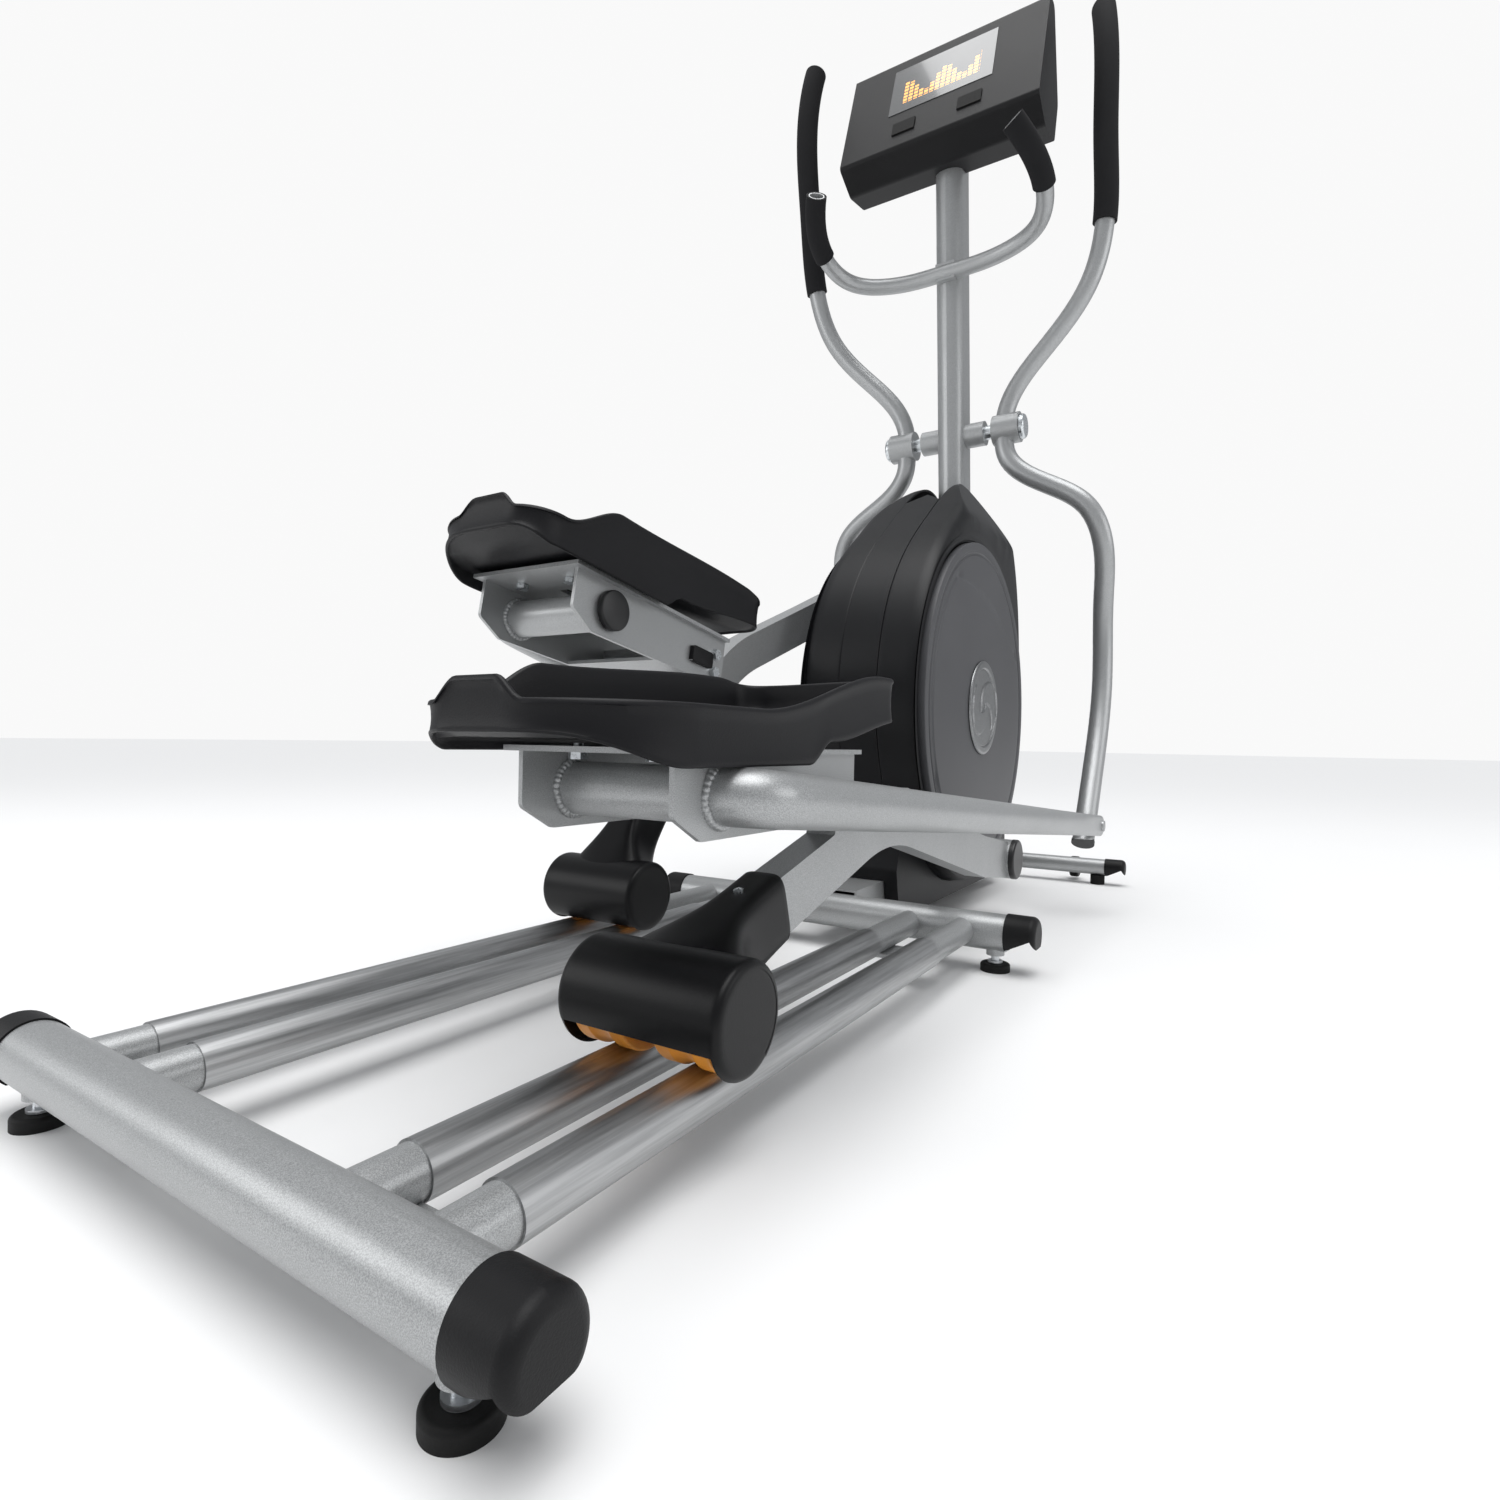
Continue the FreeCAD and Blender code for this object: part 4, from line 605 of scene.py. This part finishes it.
def link_patches():
    """Pedal link: a round lateral tube that turns forwards through a quarter circle and flattens
    to an upright eye, with its pivot pin, collar, end lid and rivet head."""
    low = in_link(np.array([[LINK_TUBE[0], 0.0, LINK_TUBE[1]]]))[0]
    cx, cz, bend = low[0], low[2], LINK_Y[0] - 200.0
    rise, side = -cz / (LINK_L - cx), (LINK_Y[1] - LINK_Y[0]) / (LINK_L - cx)
    line = [(cx, y, cz) for y in np.linspace(58.0, 196.0, 12)]
    for a in np.radians(np.linspace(0, 90, 22)):
        out = bend * math.sin(a) + bend * side * math.sin(a / 2) ** 2
        line.append((cx + bend - bend * math.cos(a), 200.0 + out, cz))
    long_run = np.linspace(cx + bend + 8.0, LINK_L - 14.0, 60)
    eye = LINK_L + EYE_R * np.sin(np.linspace(-0.7, 1.53, 18))
    xs = np.concatenate([long_run, eye])
    for x in xs:
        line.append((x, LINK_Y[0] + (x - cx) * side, cz + (x - cx) * rise))
    line = np.array(line)
    at = np.array([cx + bend, cx + 200.0, 0.0, 260.0, 500.0, LINK_L - 40.0, LINK_L + 20.0])
    half_y = np.interp(line[:, 0], at, [20.2, 19.0, 18.0, 14.5, 9.5, 4.4, 4.0])
    half_z = np.interp(line[:, 0], at, [20.2, 19.6, 19.2, 18.4, 17.4, 17.0, 17.0])
    round_end = np.sqrt(np.maximum(EYE_R ** 2 - (line[:, 0] - LINK_L) ** 2, 0.3))
    half_z = np.where(line[:, 0] > LINK_L, round_end, half_z)
    half_y[:12], half_z[:12] = 20.0, 20.0
    arm = swept(line, half_y, half_z, 2.0 + 2.0 * smooth(LINK_L - 160.0, LINK_L - 30.0, line[:, 0]))
    extra = []
    pin = [(0.0, 138.0), (9.2, 138.0), (10.0, 138.8), (10.0, 178.8), (15.4, 178.8), (16.0, 179.4),
           (16.0, 232.0), (0.0, 232.0)]
    rivet = [(0.0, 286.0), (9.0, 286.0), (9.0, 291.0), (8.0, 292.2), (5.0, 292.5), (0.0, 292.5)]
    lid = [(0.0, 53.0), (19.6, 53.0), (20.6, 53.5), (21.0, 54.6), (21.0, 60.2), (20.4, 60.8), (0.0, 60.8)]
    for x, z, profile in ((0.0, 0.0, pin), (LINK_L, 0.0, rivet), (cx, cz, lid)):
        g = lathe(profile, 64)
        g[..., 0] += x
        g[..., 2] += z
        extra.append((g, False, True))
    return [(arm, False, True)] + extra


def plug_patch():
    """Rounded rectangular plug in the bracket's inner cheek: superellipse sections along Y."""
    y = np.array([PLATE_INNER - 6.2, PLATE_INNER - 6.0, PLATE_INNER - 5.2, PLATE_INNER + 2.0])
    half = np.array([0.93, 0.97, 1.0, 1.0])
    t = np.linspace(0, 2 * np.pi, 80, endpoint=False)
    c = np.sign(np.cos(t)) * np.abs(np.cos(t)) ** 0.2
    u = np.sign(np.sin(t)) * np.abs(np.sin(t)) ** 0.2
    x = PLUG_AT[0] + 20.6 * half[:, None] * c
    z = PLUG_AT[1] + 9.6 * half[:, None] * u
    ring = np.stack([x, y[:, None] + 0 * x, z], -1)
    caps = [np.broadcast_to(ring[k].mean(0), ring[k].shape)[None] for k in (0, -1)]
    return np.concatenate([caps[0], ring, caps[1]])


def in_link(p):
    """Bracket frame to link frame."""
    c, s = math.cos(math.radians(BRACKET_TILT)), math.sin(math.radians(BRACKET_TILT))
    return np.stack([p[..., 0] * c - p[..., 2] * s + BRACKET_AT[0], p[..., 1],
                     p[..., 0] * s + p[..., 2] * c + BRACKET_AT[1]], -1)


def to_side(p, at, flip):
    """Link frame to the machine."""
    return carried(p, at["pa"], at["link"], flip)


for side, flip, at, crank in SIDES:
    body = "pedal_link_" + side
    made("foot_tray_" + side, body, TRAY,
         [(to_side(in_link(tray_patches()), at, flip), True, False)], 50.0, ["pedal_" + side])
    made("tread_mat_" + side, body, RUBBER,
         [(to_side(in_link(g), at, flip), a, b) for g, a, b in tread_patch()], 60.0)
    made("link_tube_" + side, body, LINK_STEEL,
         [(to_side(g, at, flip), a, b) for g, a, b in link_patches()], 45.0, ["link_arm_" + side])
    plug = to_side(in_link(plug_patch()), at, flip)
    made("cheek_plug_" + side, body, PLASTIC, [(plug, False, True)], 50.0)
    # weld beads where the lateral tube passes the bracket's cheeks, and on the link
    tube_at = (52.5, -32.0)
    beads = []
    for k, (y, major) in enumerate(((200.6, 20.6), (195.2, 20.4), (66.2, 20.4))):
        beads.append((to_side(in_link(bead(tube_at, major, 3.1, y, 11 + k)), at, flip), True, True))
    made("bracket_welds_" + side, body, SILVER, beads, 70.0)


# ---------------------------------------------------------------- housing
def shell_radius(count):
    """Outline of the housing seen from the side, as a distance from the crank centre at evenly
    spaced angles: the closed cubic spline through the outline's points, whose slopes m solve
    m[i-1]/h[i-1] + 2 m[i] (1/h[i-1] + 1/h[i]) + m[i+1]/h[i] = 3 (d[i-1]/h[i-1]^2 + d[i]/h[i]^2)."""
    p = np.array(SHELL_LINE, float)
    n = len(p)
    d = np.roll(p, -1, 0) - p
    h = np.linalg.norm(d, axis=1)
    matrix, right = np.zeros((n, n)), np.zeros((n, 2))
    for i in range(n):
        matrix[i, i - 1] = 1 / h[i - 1]
        matrix[i, i] = 2 * (1 / h[i - 1] + 1 / h[i])
        matrix[i, (i + 1) % n] = 1 / h[i]
        right[i] = 3 * (d[i - 1] / h[i - 1] ** 2 + d[i] / h[i] ** 2)
    m = np.linalg.solve(matrix, right)
    t = np.linspace(0, 1, 80, endpoint=False)[:, None]
    curve = [p[i] + (m[i] * h[i]) * t + (3 * d[i] - h[i] * (2 * m[i] + m[(i + 1) % n])) * t ** 2
             + (h[i] * (m[i] + m[(i + 1) % n]) - 2 * d[i]) * t ** 3 for i in range(n)]
    curve = np.concatenate(curve)
    dx, dz = curve[:, 0] - CRANK_X, curve[:, 1] - CRANK_Z
    spots = np.linspace(-np.pi, np.pi, count, endpoint=False)
    angle = np.arctan2(dz, dx)
    order = np.argsort(angle)
    return spots, np.interp(spots, angle[order], np.hypot(dx, dz)[order], period=2 * np.pi)


def side_shell():
    """Side shell: between the seam and the disc's well every angle carries one section. Its radius
    runs from the outline to the well and its width from the seam to the flat side; the shoulder
    between them is an arc, and above the drum the width falls away on a slope to the neck."""
    spots, r = shell_radius(480)
    c, s = np.cos(spots), np.sin(spots)
    well = DISC_R + 4.0
    rows = []

    def ring(radius, width):
        x, z = CRANK_X + radius * c, CRANK_Z + radius * s
        limit = SHELL_Y - np.maximum(0.0, z - 664.0 + 2.0) * 0.625
        soft = 3.0
        w = -soft * np.log(np.exp(-np.broadcast_to(width, x.shape) / soft) + np.exp(-limit / soft))
        rows.append(np.stack([x, np.maximum(w, BAND_Y), z], -1))

    ring(r - 4.0, BAND_Y)
    ring(r - 0.8, BAND_Y)
    ring(r - 0.1, BAND_Y + 0.9)
    for width in np.linspace(BAND_Y + 2.0, SHELL_Y - 26.0, 8):
        ring(r - 0.02 * (width - BAND_Y) ** 1.1, width)
    round_in = np.minimum(26.0, np.maximum(4.0, (r - well) * 0.7))
    start = r - 0.02 * (SHELL_Y - 26.0 - BAND_Y) ** 1.1
    for k in np.linspace(0.08, 1.0, 11):
        a = k * math.pi / 2
        ring(start - round_in * (1 - math.cos(a)), SHELL_Y - 26.0 + 24.5 * math.sin(a))
    flat = start - round_in
    for k in (0.3, 0.6, 0.85):
        ring(flat + (well + 11.0 - flat) * k, SHELL_Y - 1.5 + 1.2 * k)
    lip = ((10.5, 0.0), (9.5, 0.6), (8.0, 1.6), (5.0, 1.9), (2.5, 1.8), (0.8, 1.0), (0.0, -0.6),
           (0.0, -6.0), (0.0, -12.0))
    for step_in, width in lip:
        ring(np.full_like(r, well + step_in), SHELL_Y + width)
    ring(np.full_like(r, well - 5.0), SHELL_Y - 13.5)
    ring(np.full_like(r, well - 16.0), SHELL_Y - 14.0)
    rows = np.stack(rows, 0)
    back = rows[::-1].copy()
    back[..., 0] += (CRANK_X - back[..., 0]) * 0.010
    back[..., 2] += (CRANK_Z - back[..., 2]) * 0.010
    back[..., 1] = np.maximum(back[..., 1] - 3.0, BAND_Y)
    return np.concatenate([rows, back[1:-1]], 0)


def disc_patches(crank):
    """Turning cover disc. Height over its face is a sum of smooth steps of the radius and of the
    edge of a raised panel: the panel is the inside of a circle and of a wide arc on one side."""
    t = np.linspace(0, 2 * np.pi, 361)[:-1]
    radius = np.concatenate([np.linspace(24, 200, 40), np.linspace(202, 273.0, 72)])[:, None]
    px, pz = radius * np.cos(t), radius * np.sin(t)
    a = math.radians(crank + 180.0)
    along = px * math.cos(a) + pz * math.sin(a)
    across = -px * math.sin(a) + pz * math.cos(a)
    edge_in = np.minimum(246.0 - radius, 560.0 - np.hypot(along + 372.0, across))
    panel = smooth(0.0, 3.2, edge_in)
    groove = smooth(255.0, 256.6, radius) * (1 - smooth(259.4, 261.0, radius))
    crown = 1.6 * (1 - (radius / 262.0) ** 2)
    ends = np.exp(-((np.abs(across) - 178.0) / 11.0) ** 2) * np.exp(-((edge_in + 4.0) / 6.0) ** 2)
    y = DISC_Y[1] - 1.6 + np.maximum(crown, 0) * 0.6 + 1.7 * panel - 1.8 * groove - 2.0 * ends * (1 - panel)
    y = y + 0.9 * smooth(262.0, 266.0, radius)
    face = np.stack([px, y + 0 * px, pz], -1)
    corners = [(273.0, DISC_Y[1] - 0.7), (DISC_R, DISC_Y[1] - 0.9), (DISC_R, DISC_Y[0] + 0.5),
               (DISC_R - 6.0, DISC_Y[0]), (DISC_R - 6.0, DISC_Y[1] - 5.5), (24.0, DISC_Y[1] - 5.5),
               (24.0, DISC_Y[1] - 1.0)]
    rim = rounded_profile(corners, 3.2, 5)
    edge = lathe(rim, 360)
    edge[0] = face[-1]
    edge[-1] = face[0]
    return np.concatenate([face, edge[1:-1]], 0)


def emblem_patches():
    """Round hub badge: a ring, a dished face and two curved blades, each blade the overlap of two
    turned circles; height is the sum of those smooth steps."""
    t = np.linspace(0, 2 * np.pi, 289)[:-1]
    radius = np.linspace(0.0, 79.0, 90)[:, None]
    px, pz = radius * np.cos(t), radius * np.sin(t)
    y = 3.0 * smooth(65.0, 68.0, radius) - 1.2 * smooth(75.5, 79.0, radius)
    y = y + 0.8 * (radius / 65.0) ** 2 * (radius < 65)
    for k in (0.0, math.pi):
        qx, qz = px * math.cos(k) + pz * math.sin(k), -px * math.sin(k) + pz * math.cos(k)
        blade = np.minimum(44.0 - np.hypot(qx + 10.0, qz - 26.0), np.hypot(qx - 20.0, qz - 20.0) - 32.0)
        y = y + 2.4 * smooth(0.0, 2.2, blade)
    face = np.stack([px, DISC_Y[1] + 2.2 + y, pz], -1)
    low = lathe([(79.6, DISC_Y[1] + 3.2), (79.9, DISC_Y[1] + 2.2), (20.0, DISC_Y[1] + 2.2),
                 (20.0, DISC_Y[0] - 2.0), (0.0, DISC_Y[0] - 2.0)], 288)
    return np.concatenate([face, low], 0)


BADGE = brushed("badge_grey", (0.30, 0.305, 0.31), 0.34, (1.0, 0.2, 1.0))
for side, flip, at, crank in SIDES:
    made("side_shell_" + side, "frame", HOUSING,
         [(carried(side_shell(), (0, 0), 0, flip), True, True)], 42.0, ["housing_" + side])
discs = [(carried(disc_patches(crank), (CRANK_X, CRANK_Z), 0, flip), True, True)
         for side, flip, at, crank in SIDES]
made("turning_discs", "crank_set", DISC, discs, 35.0, ["crank_discs"])
badges = [(carried(emblem_patches(), (CRANK_X, CRANK_Z), crank, flip), False, True)
          for side, flip, at, crank in SIDES]
made("hub_badges", "crank_set", BADGE, badges, 40.0, ["crank_hub_caps"])


# ---------------------------------------------------------------- roller covers
def cover_drum():
    """Drum shell: a C-shaped section in the wheel plane, open below, swept along Y with domed,
    closed ends. Its outer radius is R less an edge rounding e(y); the inside follows a wall's
    thickness within."""
    y0, y1, r = 89.1, 227.5, 39.9
    start_y = y0 + 6 * (1 - np.cos(np.linspace(0, math.pi / 2, 7)))
    end_y = y1 - 6 * (1 - np.cos(np.linspace(math.pi / 2, 0, 7)))
    y = np.concatenate([start_y, np.linspace(y0 + 8, y1 - 8, 12), end_y])
    edge = np.minimum(y - y0, y1 - y)
    drop = np.where(edge < 6, 6 - np.sqrt(np.maximum(36 - (6 - edge) ** 2, 0)), 0)
    start, stop = math.radians(-90 + 36), math.radians(270 - 69)
    t = np.linspace(start, stop, 97)
    rr = (r - drop)[:, None]
    outer = np.stack([rr * np.cos(t), y[:, None] + 0 * t, rr * np.sin(t)], -1)
    ri = (r - 2.5 - np.minimum(drop, 2.0))[:, None]
    yi = np.clip(y, y0 + 2.5, y1 - 2.5)
    inside = np.stack([ri * np.cos(t), yi[:, None] + 0 * t, ri * np.sin(t)], -1)
    loop = np.concatenate([outer, inside[::-1]], 0)
    closing = [(loop, True, False)]
    for k in (0, -1):
        closing.append((np.stack([loop[:len(y), k], inside[:, k]], 0), False, False))
    # end discs, closed over the whole circle
    for spot, sign in ((y0, 1.0), (y1, -1.0)):
        steps = ((0.0, 0.5), (30.0, 0.4), (34.2, 0.3), (36.2, 0.75), (38.2, 2.1), (39.5, 4.2), (39.85, 6.0),
                 (37.4, 6.0), (37.0, 3.0), (0.0, 3.0))
        prof = [(radius, spot + deep * sign) for radius, deep in steps]
        closing.append((lathe(prof, 96), False, True))
    return closing


def cover_neck():
    """Neck up the arm: oval sections along the arm's slope whose half width flares from the arm's
    own to the drum's length, w = 20.5 + 43 exp(-(d/47)^1.9), and whose height stays on the drum's top."""
    slope = math.radians(RAIL_ARM_RISE)
    d = np.concatenate([np.linspace(2.0, 138.0, 36), [140.0, 140.6, 140.6]])
    shrink = np.concatenate([np.zeros(36), [0.5, 1.6, 4.5]])
    half_y = 20.5 + 43.0 * np.exp(-(d / 47.0) ** 1.9) - shrink
    half_z = 31.0 + 3.2 * np.exp(-(d / 30.0) ** 2) - shrink
    mid = 3.0 + 3.0 * d / 140.0
    t = np.linspace(0, 2 * np.pi, 72, endpoint=False)
    c, s = np.cos(t), np.sin(t)
    power = 2.0 / (2.4 + 2.6 * smooth(10.0, 70.0, d))[:, None]
    oy = half_y[:, None] * np.sign(c) * np.abs(c) ** power
    oz = half_z[:, None] * np.sign(s) * np.abs(s) ** power
    x = d[:, None] * math.cos(slope) - oz * math.sin(slope)
    z = d[:, None] * math.sin(slope) + oz * math.cos(slope) + mid[:, None]
    out = np.stack([x, RAIL_ARM_Y + oy, z], -1)
    return [(out, False, True)]


def screw_head(centre, radius, tall, drive):
    """Domed screw head about local Z with a cross or socket recess: height is a dome less a smooth
    well; the grid runs from the middle to the rim and down its side."""
    t = np.linspace(0, 2 * np.pi, 48, endpoint=False)
    r = np.concatenate([np.linspace(0, radius, 16), [radius, radius]])[:, None]
    x, y = r * np.cos(t), r * np.sin(t)
    z = tall * np.sqrt(np.maximum(1 - (r / radius) ** 2 * 0.75, 0.0))
    if drive == "cross":
        arm = np.minimum(np.abs(x), np.abs(y))
        near_arm = 1 - smooth(radius * 0.10, radius * 0.18, arm)
        z = z - tall * 0.6 * near_arm * (1 - smooth(radius * 0.5, radius * 0.62, r))
    else:
        z = z - tall * 0.7 * (1 - smooth(radius * 0.44, radius * 0.52, r))
    z = z * np.ones_like(x)
    z[-2] = tall * 0.3
    z[-1] = -tall * 0.5
    return np.stack([x + centre[0], y + centre[1], z + centre[2]], -1)


for side, flip, at, crank in SIDES:
    body = "rail_arm_" + side
    shell = [(carried(g, at["roller"], at["arm"], flip), a, b) for g, a, b in cover_drum() + cover_neck()]
    made("roller_hood_" + side, body, COVER, shell, 40.0, ["roller_cover_" + side])
    head = screw_head((0.0, 0.0, 0.0), 4.2, 2.2, "cross")
    slope = math.radians(RAIL_ARM_RISE)
    spot = head.copy()
    d, up = 104.0, 36.6
    tall = head[..., 2] + up
    spot[..., 0] = head[..., 0] * math.cos(slope) - tall * math.sin(slope) + d * math.cos(slope)
    spot[..., 2] = head[..., 0] * math.sin(slope) + tall * math.cos(slope) + d * math.sin(slope)
    spot[..., 1] += RAIL_ARM_Y
    screw = carried(spot, at["roller"], at["arm"], flip)
    made("hood_screw_" + side, body, ZINC, [(screw, False, True)], 40.0)


# ---------------------------------------------------------------- room, light and camera
def floor_sheet():
    """Flat square of points at z = 0, a metre apart."""
    u = np.linspace(-30, 30, 61)
    x, y = np.meshgrid(u, u, indexing="ij")
    return np.stack([x, y, np.zeros_like(x)], -1)


def backdrop():
    """Pale floor, part of the studio and not of the machine."""
    mesh = bpy.data.meshes.new("studio_floor")
    grid = floor_sheet()
    mesh.from_pydata(grid.reshape(-1, 3).tolist(), [], quads(61, 61, False, False).tolist())
    floor = bpy.data.objects.new("studio_floor", mesh)
    bpy.context.scene.collection.objects.link(floor)
    floor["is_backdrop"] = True
    p = Paint("pale_floor", (0.88, 0.88, 0.88), 0.6)
    p.put("Roughness", 0.55 + p.noise(3.0) * 0.1)
    floor.data.materials.append(p.material)


def softbox(name, spot, aim, size, power, tint=(1, 1, 1)):
    """Rectangular area light at a spot, turned to face another."""
    data = bpy.data.lights.new(name, "AREA")
    data.shape, data.size, data.size_y, data.energy, data.color = "RECTANGLE", size[0], size[1], power, tint
    lamp = bpy.data.objects.new(name, data)
    bpy.context.scene.collection.objects.link(lamp)
    from_to = np.array(aim, float) - np.array(spot, float)
    lamp.location = spot
    lamp.rotation_euler = Vector(from_to).to_track_quat("-Z", "Y").to_euler()
    return lamp


def camera():
    """Low wide view from behind the right side: a level look turned 32.2 degrees to the left of
    the rails' line, tipped down a little and rolled a little."""
    yaw, pitch, roll = math.radians(32.2), math.radians(-0.745), math.radians(0.878)
    ahead = Vector((math.cos(yaw) * math.cos(pitch), math.sin(yaw) * math.cos(pitch), math.sin(pitch)))
    right = Vector((math.sin(yaw), -math.cos(yaw), 0.0))
    up = right.cross(ahead)
    side = right * math.cos(roll) + up * math.sin(roll)
    top = up * math.cos(roll) - right * math.sin(roll)
    data = bpy.data.cameras.new("view")
    data.sensor_width, data.lens = 36.0, 19.392
    data.clip_start, data.clip_end = 0.02, 80.0
    eye = bpy.data.objects.new("view", data)
    bpy.context.scene.collection.objects.link(eye)
    m = Matrix((side, top, -ahead)).transposed().to_4x4()
    m.translation = Vector((-1.01745, -0.5053, 0.2843))
    eye.matrix_world = m
    bpy.context.scene.camera = eye


backdrop()
world = bpy.data.worlds.new("studio")
bpy.context.scene.world = world
world.use_nodes = True
sky = world.node_tree
seen = sky.nodes["Background"]
seen.inputs[0].default_value = (1.0, 1.0, 1.0, 1.0)
seen.inputs[1].default_value = 0.95
lit = sky.nodes.new("ShaderNodeBackground")
lit.inputs[0].default_value = (0.95, 0.97, 1.0, 1.0)
lit.inputs[1].default_value = 0.42
both = sky.nodes.new("ShaderNodeMixShader")
sky.links.new(sky.nodes.new("ShaderNodeLightPath").outputs["Is Camera Ray"], both.inputs[0])
sky.links.new(lit.outputs[0], both.inputs[1])
sky.links.new(seen.outputs[0], both.inputs[2])
sky.links.new(both.outputs[0], sky.nodes["World Output"].inputs[0])
softbox("top_box", (-0.2, 0.4, 3.2), (0.0, 0.0, 0.3), (3.0, 2.2), 22.0)
softbox("rear_left_box", (-2.6, 2.4, 1.6), (0.0, 0.0, 0.4), (1.8, 1.6), 24.0)
softbox("right_box", (0.6, -3.2, 1.5), (0.1, 0.0, 0.4), (2.4, 1.6), 20.0)
overhead = bpy.data.lights.new("overhead", "SUN")
overhead.energy, overhead.angle = 2.0, math.radians(50.0)
lamp = bpy.data.objects.new("overhead", overhead)
lamp.rotation_euler = (math.radians(8.0), math.radians(-6.0), 0.0)
bpy.context.scene.collection.objects.link(lamp)
camera()
bpy.context.scene.view_settings.view_transform = "Standard"

low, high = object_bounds()
